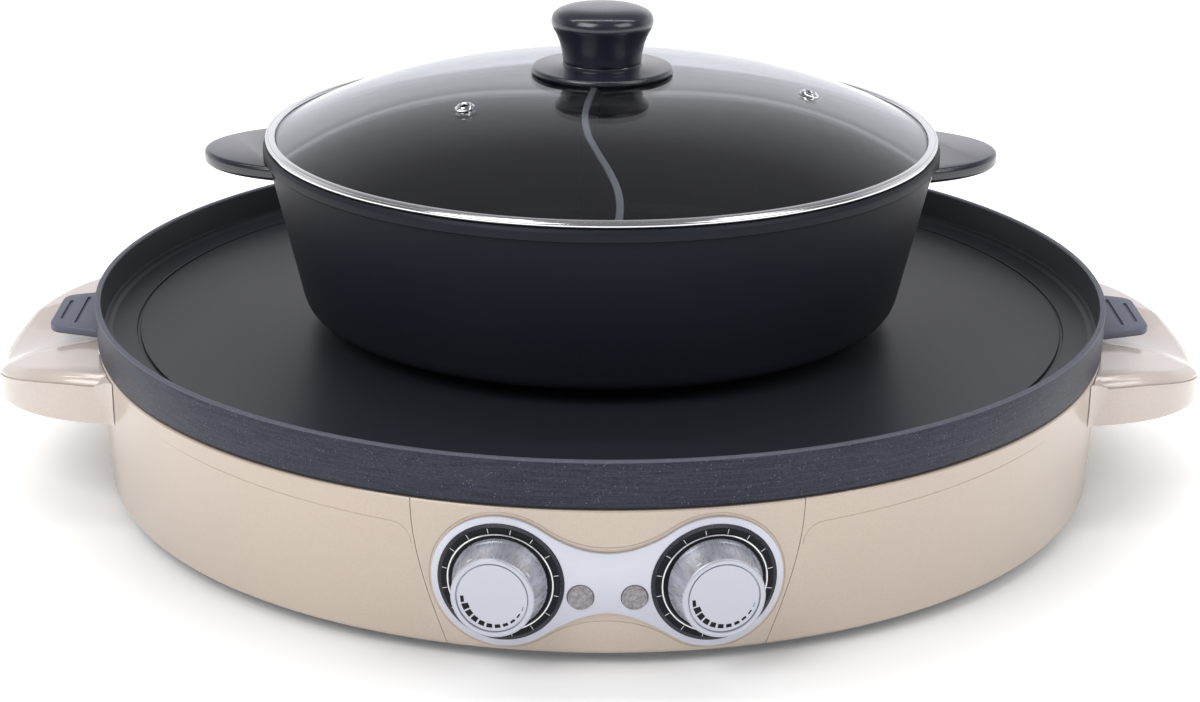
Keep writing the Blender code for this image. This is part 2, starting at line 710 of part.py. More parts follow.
def control_plate_outline():
    """The plate laid out flat: two lobes and the sagging curves of its waist."""
    tangent = math.radians(PLATE_TANGENT_DEGREES)
    lobe = arc((CONTROL_PITCH, 0), PLATE_LOBE_RADIUS, -180 + PLATE_TANGENT_DEGREES,
               180 - PLATE_TANGENT_DEGREES, 3 * PLATE_CURVE_POINTS)
    start_x = CONTROL_PITCH - PLATE_LOBE_RADIUS * math.cos(tangent)
    start_y = PLATE_LOBE_RADIUS * math.sin(tangent)
    waist = []
    for i in range(1, PLATE_CURVE_POINTS):
        share = i / PLATE_CURVE_POINTS
        fall = start_y - PLATE_WAIST_HALF_HEIGHT
        slope = start_x / math.tan(tangent)
        ease = 1 - 3 * share**2 + 2 * share**3
        height = PLATE_WAIST_HALF_HEIGHT + fall * ease - slope * share * (1 - share) ** 2
        waist.append((start_x * (1 - share), height))
    right = [(x, -y) for x, y in reversed(waist)] + lobe + waist
    left = [(-x, -y) for x, y in right]
    foot = (0, PLATE_WAIST_RISE - PLATE_WAIST_HALF_HEIGHT)
    crown = (0, PLATE_WAIST_RISE + PLATE_WAIST_HALF_HEIGHT)
    flat = [foot] + right + [crown] + left
    radius = drum_radius(CONTROL_HEIGHT)
    return [(radius * math.sin(x / radius), y + CONTROL_HEIGHT) for x, y in flat]


def make_control_plate(base, knob_axes, lens_axes):
    low = CONTROL_HEIGHT - PLATE_LOBE_RADIUS - OVERRUN
    high = CONTROL_HEIGHT + PLATE_LOBE_RADIUS + OVERRUN
    plate = drum_band(
        "control_plate", PLATE_LIFT, PLATE_LIFT + PLATE_THICKNESS, low, high, base,
        "satin_aluminium", FINE_STEPS,
    )
    outline = front_prism("control_plate_outline", [control_plate_outline()], base)
    combine(plate, [outline], "INTERSECT")
    reach = WALL_CUT_REACH
    cutters = []
    for name, axis in knob_axes.items():
        radius = THERMOSTAT_NECK_RADIUS + SEAT_GAP
        cutters.append(rod(f"{name}_plate_hole", radius, -reach, reach, axis))
    for name, axis in lens_axes.items():
        cutters.append(rod(f"{name}_lens_hole", LENS_RADIUS + SEAT_GAP, -reach, reach, axis))
    combine(plate, cutters)
    for name, axis in knob_axes.items():
        make_dial_ring(name, axis, base, low, high)


def make_dial_ring(name, axis, base, low, high):
    """A thin ring round the knob, bent to the plate below it."""
    reach = WALL_CUT_REACH
    bore = DIAL_RING_BORE
    profile = [(DIAL_RING_RADIUS, reach), (DIAL_RING_RADIUS, -reach), (bore, -reach), (bore, reach)]
    ring = turned(f"{name}_dial_ring", profile, axis, "dial_black", MIDDLE_STEPS)
    skin = drum_band(
        f"{name}_dial_band", DIAL_LIFT, DIAL_LIFT + DIAL_RING_THICKNESS, low, high, base,
        steps=FINE_STEPS,
    )
    combine(ring, [skin], "INTERSECT")


def make_lens(name, axis):
    """A round lens on a stem that passes through the panel."""
    top = PLATE_LIFT + PLATE_THICKNESS + LENS_PROUD
    flange = SEAT_GAP + chord_depth(drum_radius(CONTROL_HEIGHT), LENS_RADIUS)
    profile = [
        (0, top),
        (LENS_RADIUS - LENS_PROUD / 2, top),
        (LENS_RADIUS, top - LENS_PROUD / 2),
        (LENS_RADIUS, flange),
        (LENS_STEM_RADIUS, flange),
        (LENS_STEM_RADIUS, flange - LENS_STEM_LENGTH),
        (0, flange - LENS_STEM_LENGTH),
    ]
    turned(f"{name}_lamp_lens", profile, axis, "lamp_lens", SMALL_STEPS)


def make_thermostat(name, axis):
    """A square control box whose threaded neck comes through the panel."""
    half = THERMOSTAT_WIDTH / 2
    inner_wall = drum_radius(CONTROL_HEIGHT - half) - SHELL_WALL
    nearest = inner_wall - chord_depth(inner_wall, half) - facet_sag(inner_wall)
    front = nearest - SEAT_GAP - drum_radius(CONTROL_HEIGHT)
    body = block(
        f"{name}_thermostat", (-half, -half, front - THERMOSTAT_DEPTH), (half, half, front), axis,
        "black_plastic",
    )
    neck = rod(f"{name}_neck", THERMOSTAT_NECK_RADIUS, front - OVERRUN,
               front + THERMOSTAT_NECK_LENGTH, axis)
    combine(body, [neck], "UNION")
    bore_floor = front - THERMOSTAT_BORE_DEPTH
    combine(body, [rod(f"{name}_neck_bore", SHAFT_BORE_RADIUS, bore_floor, 0, axis)])
    return bore_floor


def make_knob(name, turn_axis, bore_floor):
    """A hollow tapered knob with a sunk face, on a flatted shaft."""
    face = KNOB_FACE_HEIGHT
    bore_top = KNOB_BASE + SHAFT_REACH
    cavity_top = face - KNOB_FACE_RECESS - KNOB_WALL
    profile = [
        (0, face - KNOB_FACE_RECESS),
        (KNOB_FACE_RADIUS, face - KNOB_FACE_RECESS),
        (KNOB_FACE_RADIUS, face),
        (KNOB_NOSE_RADIUS - KNOB_EDGE_ROUND, face),
        (KNOB_NOSE_RADIUS, face - KNOB_EDGE_ROUND),
        (KNOB_SKIRT_RADIUS, KNOB_BASE),
        (KNOB_SKIRT_RADIUS - KNOB_WALL, KNOB_BASE),
        (KNOB_NOSE_RADIUS - KNOB_WALL, cavity_top),
        (KNOB_BOSS_RADIUS, cavity_top),
        (KNOB_BOSS_RADIUS, KNOB_BASE + KNOB_WALL),
        (SHAFT_BORE_RADIUS, KNOB_BASE + KNOB_WALL),
        (SHAFT_BORE_RADIUS, bore_top),
        (0, bore_top),
    ]
    turned(f"{name}_knob", profile, turn_axis, "silver_plastic", MIDDLE_STEPS)
    shaft = rod(f"{name}_knob_shaft", SHAFT_RADIUS, bore_floor + SEAT_GAP, bore_top - SEAT_GAP,
                turn_axis, "galvanised_steel")
    flat_low = (SHAFT_RADIUS - SHAFT_FLAT_DEPTH, -SHAFT_RADIUS - OVERRUN, KNOB_BASE + KNOB_WALL)
    flat_high = (SHAFT_RADIUS + OVERRUN, SHAFT_RADIUS + OVERRUN, bore_top + OVERRUN)
    combine(shaft, [block(f"{name}_shaft_flat", flat_low, flat_high, turn_axis)])


def make_reflector(base):
    flange = STEP_RADIUS - RUN_GAP
    bend = flange - REFLECTOR_FLANGE_WIDTH
    foot = bend - REFLECTOR_SLOPE_WIDTH
    profile = [
        (flange, REFLECTOR_FLANGE_BOTTOM + REFLECTOR_SHEET),
        (flange, REFLECTOR_FLANGE_BOTTOM),
        (bend, REFLECTOR_FLANGE_BOTTOM),
        (foot, REFLECTOR_FLOOR),
        (REFLECTOR_WIRE_HOLE_RADIUS, REFLECTOR_FLOOR),
        (REFLECTOR_WIRE_HOLE_RADIUS, REFLECTOR_FLOOR_TOP),
        (foot - REFLECTOR_SHEET / 2, REFLECTOR_FLOOR_TOP),
        (bend - REFLECTOR_SHEET / 2, REFLECTOR_FLANGE_BOTTOM + REFLECTOR_SHEET),
    ]
    dish = turned("heat_reflector", profile, base, "galvanised_steel", HIDDEN_STEPS)
    holes = []
    for side, sign in (("left", -1), ("right", 1)):
        spot = (sign * ELEMENT_TERMINAL_HALF_PITCH, terminal_y(), 0)
        holes.append(rod(f"{side}_terminal_hole", ELEMENT_TUBE_RADIUS + RUN_GAP, REFLECTOR_FLOOR - OVERRUN,
                         REFLECTOR_FLOOR_TOP + OVERRUN, base, location=spot))
    combine(dish, holes)


def terminal_y():
    """Where the element's ends turn down, on the ring's own circle."""
    return math.sqrt(ELEMENT_RING_RADIUS**2 - ELEMENT_TERMINAL_HALF_PITCH**2)


def make_pot_heater(base):
    profile = [
        (0, HEATER_TOP),
        (HEATER_RADIUS - HEATER_EDGE, HEATER_TOP),
        (HEATER_RADIUS, HEATER_TOP - HEATER_EDGE),
        (HEATER_RADIUS, HEATER_BOTTOM),
        (0, HEATER_BOTTOM),
    ]
    turned("hotpot_heater_plate", profile, base, "cast_aluminium", HIDDEN_STEPS)
    foot = REFLECTOR_FLOOR_TOP + SEAT_GAP
    sleeve = [
        (SLEEVE_RADIUS, HEATER_BOTTOM - SEAT_GAP),
        (SLEEVE_RADIUS, foot + SLEEVE_SHEET),
        (SLEEVE_RADIUS + SLEEVE_FLANGE_WIDTH, foot + SLEEVE_SHEET),
        (SLEEVE_RADIUS + SLEEVE_FLANGE_WIDTH, foot),
        (SLEEVE_RADIUS - SLEEVE_SHEET, foot),
        (SLEEVE_RADIUS - SLEEVE_SHEET, HEATER_BOTTOM - SEAT_GAP),
    ]
    turned("heater_sleeve", sleeve, base, "galvanised_steel", MIDDLE_STEPS)


def make_grill_heater(base):
    """A nearly full ring whose two ends turn down through the reflector."""
    low = REFLECTOR_FLOOR - ELEMENT_TERMINAL_TAIL
    gap = math.asin((ELEMENT_TERMINAL_HALF_PITCH + ELEMENT_BEND_RADIUS) / ELEMENT_RING_RADIUS)
    path = [(ELEMENT_TERMINAL_HALF_PITCH, terminal_y(), low)]
    bend = arc((ELEMENT_TERMINAL_HALF_PITCH + ELEMENT_BEND_RADIUS, ELEMENT_HEIGHT - ELEMENT_BEND_RADIUS),
               ELEMENT_BEND_RADIUS, 180, 90, 4)
    for x, z in bend[:-1]:
        path.append((x, math.sqrt(ELEMENT_RING_RADIUS**2 - x**2), z))
    for i in range(ELEMENT_POINTS + 1):
        angle = gap + (2 * math.pi - 2 * gap) * i / ELEMENT_POINTS
        x, y = ELEMENT_RING_RADIUS * math.sin(angle), ELEMENT_RING_RADIUS * math.cos(angle)
        path.append((x, y, ELEMENT_HEIGHT))
    for x, z in reversed(bend[:-1]):
        path.append((-x, math.sqrt(ELEMENT_RING_RADIUS**2 - x**2), z))
    path.append((-ELEMENT_TERMINAL_HALF_PITCH, terminal_y(), low))
    tube("grill_heater_element", path, ELEMENT_TUBE_RADIUS, base, "element_sheath")
    for i in range(SADDLE_COUNT):
        angle = math.radians(SADDLE_START_DEGREES + 360 * i / SADDLE_COUNT)
        pivot = axis_empty(f"saddle_axis_{i + 1}", base, rotation=(0, 0, angle))
        make_saddle(i + 1, pivot)


def make_saddle(number, pivot):
    """A block on the reflector's floor with a round notch for the element."""
    half = SADDLE_WIDTH / 2
    low = (ELEMENT_RING_RADIUS - half, -SADDLE_THICKNESS / 2, REFLECTOR_FLOOR_TOP + SEAT_GAP)
    high = (ELEMENT_RING_RADIUS + half, SADDLE_THICKNESS / 2, ELEMENT_HEIGHT)
    saddle = block(f"element_saddle_{number}", low, high, pivot, "galvanised_steel")
    radius = ELEMENT_TUBE_RADIUS + SEAT_GAP + facet_sag(ELEMENT_RING_RADIUS, ELEMENT_POINTS)
    notch = rod(
        f"saddle_notch_{number}", radius, -SADDLE_THICKNESS, SADDLE_THICKNESS, pivot,
        location=(ELEMENT_RING_RADIUS, 0, ELEMENT_HEIGHT), rotation=(math.pi / 2, 0, 0),
    )
    combine(saddle, [notch])


def make_cover_and_feet(base, post_axes):
    profile = [(0, COVER_TOP), (COVER_RADIUS, COVER_TOP), (COVER_RADIUS, COVER_LIFT), (0, COVER_LIFT)]
    cover = turned("bottom_cover", profile, base, "galvanised_steel", HIDDEN_STEPS)
    cutters = []
    above = COVER_TOP + OVERRUN
    vent = rounded(rectangle(COVER_VENT_LENGTH / 2, COVER_VENT_WIDTH / 2), COVER_VENT_WIDTH / 2, 3)
    outline = [(x + COVER_VENT_CIRCLE_RADIUS, y) for x, y in vent]
    for i in range(COVER_VENT_COUNT):
        turn = (0, 0, 2 * math.pi * (i + 0.5) / COVER_VENT_COUNT)
        cutters.append(slab(f"cover_vent_{i + 1}", [outline], 0, above, base, rotation=turn))
    for i, pivot in enumerate(post_axes):
        cutters.append(rod(f"cover_hole_{i + 1}", SCREW_SHANK_RADIUS + SEAT_GAP, 0, above, pivot))
        machine_screw(
            f"cover_screw_{i + 1}", SCREW_SHANK_RADIUS, COVER_SCREW_LENGTH, SCREW_HEAD_RADIUS,
            SCREW_HEAD_HEIGHT, pivot, location=(0, 0, COVER_LIFT - SEAT_GAP), rotation=(math.pi, 0, 0),
        )
        make_foot(i + 1, base)
    combine(cover, cutters)


def make_foot(number, base):
    angle = math.radians(COVER_POST_START_DEGREES + 90 * (number - 1))
    spot = (FOOT_CIRCLE_RADIUS * math.cos(angle), FOOT_CIRCLE_RADIUS * math.sin(angle), 0)
    top = COVER_LIFT - SEAT_GAP
    profile = [(0, top), (FOOT_RADIUS, top), (FOOT_RADIUS - FOOT_TAPER, -FOOT_GAP), (0, -FOOT_GAP)]
    turned(f"foot_{number}", profile, base, "foot_rubber", SMALL_STEPS, location=spot)


def inlet_body(name, base, gap, finish=None):
    """The block behind the inlet's flange, grown by a gap where it is a cutter."""
    width = INLET_BODY_WIDTH / 2 + gap
    height = INLET_BODY_HEIGHT / 2 + gap
    face = inlet_face()
    low = (-width, face - INLET_BODY_DEPTH, INLET_HEIGHT - height)
    high = (width, face + INLET_FLANGE_THICKNESS / 2, INLET_HEIGHT + height)
    return block(name, low, high, base, finish)


def inlet_face():
    """Where the inlet's flange meets the back of the drum."""
    return drum_radius(INLET_HEIGHT + INLET_FLANGE_HEIGHT / 2) + SEAT_GAP


def make_inlet(base):
    """A flanged socket with three pins, let into the back of the drum."""
    face = inlet_face()
    front = face + INLET_FLANGE_THICKNESS
    half = INLET_FLANGE_WIDTH / 2
    rise = INLET_FLANGE_HEIGHT / 2
    inlet = block(
        "power_inlet", (-half, face, INLET_HEIGHT - rise), (half, front, INLET_HEIGHT + rise), base,
        "black_plastic",
    )
    combine(inlet, [inlet_body("inlet_housing", base, 0)], "UNION")
    width = INLET_BODY_WIDTH / 2 - INLET_SOCKET_WALL
    height = INLET_BODY_HEIGHT / 2 - INLET_SOCKET_WALL
    floor = front - INLET_SOCKET_DEPTH
    socket = block(
        "inlet_socket", (-width, floor, INLET_HEIGHT - height),
        (width, front + OVERRUN, INLET_HEIGHT + height), base,
    )
    combine(inlet, [socket])
    pins = []
    for i in range(3):
        rise = INLET_PIN_RISE if i == 1 else -INLET_PIN_RISE / 2
        spot = ((i - 1) * INLET_PIN_PITCH, floor, INLET_HEIGHT + rise)
        pins.append(rod(f"inlet_pin_{i + 1}", INLET_PIN_RADIUS, -INLET_PIN_LENGTH, INLET_SOCKET_WALL, base,
                        location=spot, rotation=(math.pi / 2, 0, 0)))
    combine(inlet, pins, "UNION")


def shoulder_height(x):
    """Top of the side handle along its shoulders, nearly level and then falling."""
    share = max(0, (x - SHELL_RIM_RADIUS) / HANDLE_REACH)
    return SHELL_HEIGHT - HANDLE_SHOULDER_DROP - HANDLE_SHOULDER_FALL * share**2


def thumb_height(x, y):
    """The lower face between the shoulders: it falls to the tip and is dished across."""
    share = max(0, (x - SHELL_RIM_RADIUS) / HANDLE_REACH)
    fall = HANDLE_THUMB_FALL * share**HANDLE_THUMB_POWER
    dish = y**2 / (2 * HANDLE_THUMB_DISH_RADIUS)
    return SHELL_HEIGHT - HANDLE_THUMB_DROP - fall + dish


def scoop_depth(x, y):
    """Hollow under the pan's grip, deepest at the drum."""
    along = max(0, 1 - max(0, (x - SHELL_RIM_RADIUS)) / HANDLE_SCOOP_REACH)
    across = max(0, 1 - (y / HANDLE_SCOOP_HALF_WIDTH) ** 2)
    return HANDLE_SCOOP_DEPTH * along**2 * across


def handle_top(x, y):
    return min(shoulder_height(x), thumb_height(x, y)) - scoop_depth(x, y)


def crease_share(start, end):
    """Share of the way from start to end where shoulder and thumb face meet."""
    low, high = 0.0, 1.0
    for _ in range(24):
        share = (low + high) / 2
        spot = start.lerp(end, share)
        if thumb_height(*spot) < shoulder_height(spot.x):
            low = share
        else:
            high = share
    return min(max(share, HANDLE_CREASE_LEAST_SHARE), HANDLE_CREASE_MOST_SHARE)


def handle_section(turn):
    """One closed section of the handle, from its middle out to the edge and back inside."""
    centre = SHELL_RIM_RADIUS + HANDLE_REACH - HANDLE_PLAN_DEPTH
    power = 2 / HANDLE_PLAN_POWER
    out = Vector((centre + HANDLE_PLAN_DEPTH * math.cos(turn) ** power,
                  HANDLE_HALF_WIDTH * math.copysign(abs(math.sin(turn)) ** power, turn)))
    anchor = Vector((SHELL_RIM_RADIUS - HANDLE_ANCHOR_DEPTH, HANDLE_ANCHOR_HALF_WIDTH * math.sin(turn)))
    inward = (anchor - out).normalized()
    ridge = out + inward * HANDLE_EDGE_ROUND
    ridge_height = handle_top(*ridge) - HANDLE_RIDGE_DROP
    crease = crease_share(anchor, ridge)
    tops = [anchor.lerp(ridge, crease * share) for share in HANDLE_SECTION_SHARES]
    tops += [anchor.lerp(ridge, crease), anchor.lerp(ridge, (1 + crease) / 2)]
    section = [(*spot, handle_top(*spot)) for spot in tops]
    section += [
        (*ridge, ridge_height),
        (*out, ridge_height - HANDLE_EDGE_ROUND),
        (*out, HANDLE_UNDERSIDE),
    ]
    inside = out + inward * HANDLE_WALL
    ceiling = out + inward * (HANDLE_WALL + HANDLE_EDGE_ROUND)
    section += [
        (*inside, HANDLE_UNDERSIDE),
        (*inside, ridge_height - HANDLE_WALL - HANDLE_EDGE_ROUND),
        (*ceiling, ridge_height - HANDLE_WALL),
    ]
    section += [(*spot, handle_top(*spot) - HANDLE_WALL) for spot in reversed(tops[:-1])]
    return section


def loft(name, sections, parent, finish=None):
    """Bridges closed sections that have the same number of points, and caps both ends."""
    mesh = bpy.data.meshes.new(name)
    shape = bmesh.new()
    rings = [[shape.verts.new(point) for point in section] for section in sections]
    count = len(rings[0])
    for near, far in zip(rings, rings[1:]):
        for i in range(count):
            j = (i + 1) % count
            shape.faces.new((near[i], near[j], far[j], far[i]))
    shape.faces.new(list(reversed(rings[0])))
    shape.faces.new(rings[-1])
    bmesh.ops.triangulate(shape, faces=shape.faces)
    bmesh.ops.recalc_face_normals(shape, faces=shape.faces)
    shape.to_mesh(mesh)
    shape.free()
    return place(name, mesh, parent, finish)


def make_side_handle(side, mount, drum_core, screw_axes):
    """A moulded grip, hollow below, lofted along its plan and cut to the drum."""
    sections = []
    for i in range(HANDLE_STATIONS):
        share = 2 * i / (HANDLE_STATIONS - 1) - 1
        sections.append(handle_section(share * math.pi / 2))
    handle = loft(f"{side}_side_handle", sections, mount, "pearl_plastic")
    bosses = []
    bores = []
    for i, axis in enumerate(screw_axes):
        half_width, half_height = HANDLE_BOSS_WIDTH / 2, HANDLE_BOSS_HEIGHT / 2
        ceiling = SHELL_HEIGHT - HANDLE_UNDERSIDE - HANDLE_BOSS_RECESS - half_height - 2 * HANDLE_WALL / 3
        bosses.append(block(
            f"{side}_handle_boss_{i + 1}", (-half_width, -half_height, -HANDLE_WALL),
            (half_width, ceiling, HANDLE_BOSS_DEPTH), axis,
        ))
        bores.append(rod(f"{side}_handle_bore_{i + 1}", SCREW_SHANK_RADIUS + SEAT_GAP, -HANDLE_WALL,
                         HANDLE_BOSS_DEPTH - HANDLE_WALL, axis))
        head_seat = -(SHELL_WALL + chord_depth(drum_radius(0) - SHELL_WALL, SCREW_HEAD_RADIUS)
                      + facet_sag(SHELL_RIM_RADIUS) + SEAT_GAP)
        machine_screw(
            f"{side}_handle_screw_{i + 1}", SCREW_SHANK_RADIUS, HANDLE_SCREW_LENGTH,
            SCREW_HEAD_RADIUS, SCREW_HEAD_HEIGHT, axis, location=(0, 0, head_seat),
            rotation=(math.pi, 0, 0),
        )
    combine(handle, bosses, "UNION")
    combine(handle, [drum_core] + bores)


def make_drum_core(base):
    """The room that the drum takes, with the clearance of what lies against it."""
    low, high = -OVERRUN, SHELL_HEIGHT + OVERRUN
    profile = [
        (0, high),
        (drum_radius(high) + SEAT_GAP, high),
        (drum_radius(low) + SEAT_GAP, low),
        (0, low),
    ]
    return turned("drum_core", profile, base)


def make_pan(pan_axis, lug_mounts):
    rib = STEP_RADIUS - RUN_GAP
    step = PAN_RIM_RADIUS - PAN_STEP_INSET
    surface_edge = step - PAN_STEP_WIDTH
    groove_outside = PAN_RIM_RADIUS - PAN_GROOVE_INSET - PAN_FLARE
    groove_inside = groove_outside - PAN_GROOVE_WIDTH
    opening = HEATER_RADIUS + PAN_OPENING_MARGIN
    collar = opening + PAN_COLLAR_TOP_WIDTH
    profile = [
        (PAN_RIM_RADIUS - PAN_LIP_EDGE, PAN_RIM),
        (PAN_RIM_RADIUS, PAN_RIM - PAN_LIP_EDGE),
        (SHELL_RIM_RADIUS, PAN_BOTTOM),
        (rib, PAN_BOTTOM),
        (rib, PAN_BOTTOM - PAN_RIB_DEPTH),
        (rib - PAN_RIB_WIDTH, PAN_BOTTOM - PAN_RIB_DEPTH),
        (rib - PAN_RIB_WIDTH, PAN_UNDERSIDE),
        (opening, PAN_UNDERSIDE),
        (opening, PAN_SURFACE + PAN_COLLAR_RISE),
        (collar, PAN_SURFACE + PAN_COLLAR_RISE),
        (opening + PAN_COLLAR_FOOT_WIDTH, PAN_SURFACE),
        (groove_inside, PAN_SURFACE),
        (groove_inside, PAN_SURFACE - PAN_GROOVE_DEPTH),
        (groove_outside, PAN_SURFACE - PAN_GROOVE_DEPTH),
        (groove_outside, PAN_SURFACE),
        (surface_edge, PAN_SURFACE),
        (step, PAN_SURFACE + PAN_STEP_RISE),
        (PAN_RIM_RADIUS - PAN_LIP, PAN_RIM - PAN_LIP_EDGE),
        (PAN_RIM_RADIUS - PAN_LIP + PAN_LIP_EDGE, PAN_RIM),
    ]
    pan = turned("grill_pan", profile, pan_axis, "cast_pan_coating")
    lugs = []
    bores = []
    for side, mount in lug_mounts.items():
        low = (SHELL_RIM_RADIUS - PAN_LIP, -PAN_LUG_HALF_WIDTH, PAN_BOTTOM)
        high = (SHELL_RIM_RADIUS + PAN_LUG_REACH, PAN_LUG_HALF_WIDTH, PAN_BOTTOM + PAN_LUG_THICKNESS)
        lugs.append(block(f"{side}_pan_lug", low, high, mount))
        bores.append(rod(f"{side}_pan_lug_bore", SCREW_SHANK_RADIUS + SEAT_GAP, PAN_BOTTOM - OVERRUN,
                         PAN_BOTTOM + PAN_LUG_THICKNESS + OVERRUN, mount,
                         location=(tab_screw_x(), 0, 0)))
    combine(pan, lugs, "UNION")
    combine(pan, bores)
    for side, mount in lug_mounts.items():
        make_pan_tab(side, mount, pan_axis)


def tab_screw_x():
    return SHELL_RIM_RADIUS + PAN_LUG_REACH / 2


def make_pan_tab(side, mount, pan_axis):
    """A flat grip with two grooves on top, pocketed below for the pan's lug."""
    top = PAN_BOTTOM + TAB_TOP_RISE
    bottom = top - TAB_THICKNESS
    tip = SHELL_RIM_RADIUS + TAB_REACH
    root = SHELL_RIM_RADIUS - TAB_REACH
    spread = TAB_ROOT_HALF_WIDTH + (TAB_ROOT_HALF_WIDTH - TAB_TIP_HALF_WIDTH)
    corners = [(root, -spread), (tip, -TAB_TIP_HALF_WIDTH), (tip, TAB_TIP_HALF_WIDTH), (root, spread)]
    outline = rounded(corners, TAB_CORNER_RADIUS)
    tab = slab(f"pan_handle_{side}", [outline], bottom, top, mount, "dark_plastic")
    core = [
        (0, top + OVERRUN),
        (pan_radius(top + OVERRUN) + SEAT_GAP, top + OVERRUN),
        (pan_radius(bottom - OVERRUN) + SEAT_GAP, bottom - OVERRUN),
        (0, bottom - OVERRUN),
    ]
    cutters = [turned(f"{side}_tab_core", core, pan_axis)]
    lug_end = SHELL_RIM_RADIUS + PAN_LUG_REACH + SEAT_GAP
    roof = PAN_BOTTOM + PAN_LUG_THICKNESS + SEAT_GAP
    half = PAN_LUG_HALF_WIDTH + SEAT_GAP
    pocket_low = (root, -half, bottom - OVERRUN)
    cutters.append(block(f"{side}_tab_pocket", pocket_low, (lug_end, half, roof), mount))
    slots = (
        ("tip", TAB_TIP_SLOT_INSET, TAB_TIP_SLOT_LENGTH),
        ("root", TAB_ROOT_SLOT_INSET, TAB_ROOT_SLOT_LENGTH),
    )
    for name, inset, length in slots:
        outline = rounded(rectangle(TAB_SLOT_WIDTH / 2, length / 2), TAB_SLOT_WIDTH / 2, 3)
        outline = [(x + tip - inset, y) for x, y in outline]
        cutters.append(slab(f"{side}_{name}_slot", [outline], top - TAB_SLOT_DEPTH, top + OVERRUN, mount))
    reach = TAB_SCREW_LENGTH - PAN_LUG_THICKNESS + SEAT_GAP
    spot = (tab_screw_x(), 0, 0)
    cutters.append(rod(f"{side}_tab_bore", SCREW_SHANK_RADIUS + SEAT_GAP, roof - OVERRUN,
                       roof + reach, mount, location=spot))
    combine(tab, cutters)
    machine_screw(
        f"pan_handle_screw_{side}", SCREW_SHANK_RADIUS, TAB_SCREW_LENGTH, SCREW_HEAD_RADIUS,
        SCREW_HEAD_HEIGHT, mount, location=(tab_screw_x(), 0, PAN_BOTTOM - SEAT_GAP),
        rotation=(math.pi, 0, 0),
    )


def make_pot(pot_axis, handle_mounts):
    """The pot's wall and floor with the S-shaped divider cast in."""
    floor = POT_BOTTOM + POT_FLOOR
    corner_height = floor + POT_CORNER
    profile = [
        (0, floor),
        (pot_radius(floor) - POT_WALL - POT_CORNER, floor),
        (pot_radius(corner_height) - POT_WALL, corner_height),
        (pot_radius(LID_LEDGE) - POT_WALL, LID_LEDGE),
        (POT_LIP_BORE, LID_LEDGE),
        (POT_LIP_BORE, POT_LIP_TOP),
        (POT_BAND_RADIUS - POT_LIP_CHAMFER, POT_LIP_TOP),
        (POT_BAND_RADIUS, POT_BAND_TOP),
        (POT_BAND_RADIUS, POT_BAND_BOTTOM),
        (POT_MOUTH_RADIUS, POT_BAND_BOTTOM),
        (pot_radius(POT_BOTTOM + POT_CORNER), POT_BOTTOM + POT_CORNER),
        (pot_radius(POT_BOTTOM) - POT_CORNER / 2, POT_BOTTOM + POT_CORNER / 4),
        (pot_radius(POT_BOTTOM) - POT_CORNER, POT_BOTTOM),
        (0, POT_BOTTOM),
    ]
    pot = turned("pot_body", profile, pot_axis, "pot_enamel")
    lugs = []
    bores = []
    for side, mount in handle_mounts.items():
        low = (pot_lug_root(), -POT_LUG_HALF_WIDTH, pot_lug_bottom())
        high = (POT_MOUTH_RADIUS + POT_LUG_REACH, POT_LUG_HALF_WIDTH, pot_lug_bottom() + POT_LUG_THICKNESS)
        lugs.append(block(f"{side}_pot_lug", low, high, mount))
        bores.append(rod(f"{side}_pot_lug_bore", SCREW_SHANK_RADIUS + SEAT_GAP, low[2] - OVERRUN,
                         high[2] + OVERRUN, mount, location=(pot_screw_x(), 0, 0)))
    combine(pot, lugs + [make_divider(pot_axis)], "UNION")
    combine(pot, bores)
    for side, mount in handle_mounts.items():
        make_pot_handle(side, mount, pot_axis)


def make_divider(pot_axis):
    """A thin wall along one turn of a sine, trimmed to end inside the pot's wall."""
    floor = POT_BOTTOM + POT_FLOOR / 2
    top = POT_BAND_BOTTOM - DIVIDER_TOP_DROP
    line = []
    for i in range(DIVIDER_STATIONS):
        share = 2 * i / (DIVIDER_STATIONS - 1) - 1
        line.append((-DIVIDER_BOW * math.sin(math.pi * share), POT_MOUTH_RADIUS * share))
    half = DIVIDER_THICKNESS / 2
    outline = [(x + half, y) for x, y in line] + [(x - half, y) for x, y in reversed(line)]
    divider = slab("pot_divider", [outline], floor, top, pot_axis)
    low, high = POT_BOTTOM, POT_BAND_BOTTOM
    bite = POT_WALL / 2
    trim = [
        (0, high),
        (pot_radius(high) - bite, high),
        (pot_radius(low) - bite, low),
        (0, low),
    ]
    return combine(divider, [turned("pot_divider_trim", trim, pot_axis)], "INTERSECT")


def pot_lug_bottom():
    return POT_BAND_BOTTOM - POT_HANDLE_TOP_DROP - POT_HANDLE_THICKNESS + POT_LUG_RISE


def pot_lug_root():
    """The lug starts in the middle of the pot's wall."""
    return pot_radius(pot_lug_bottom()) - POT_WALL / 2


def pot_screw_x():
    return POT_MOUTH_RADIUS + POT_LUG_REACH * POT_SCREW_SHARE


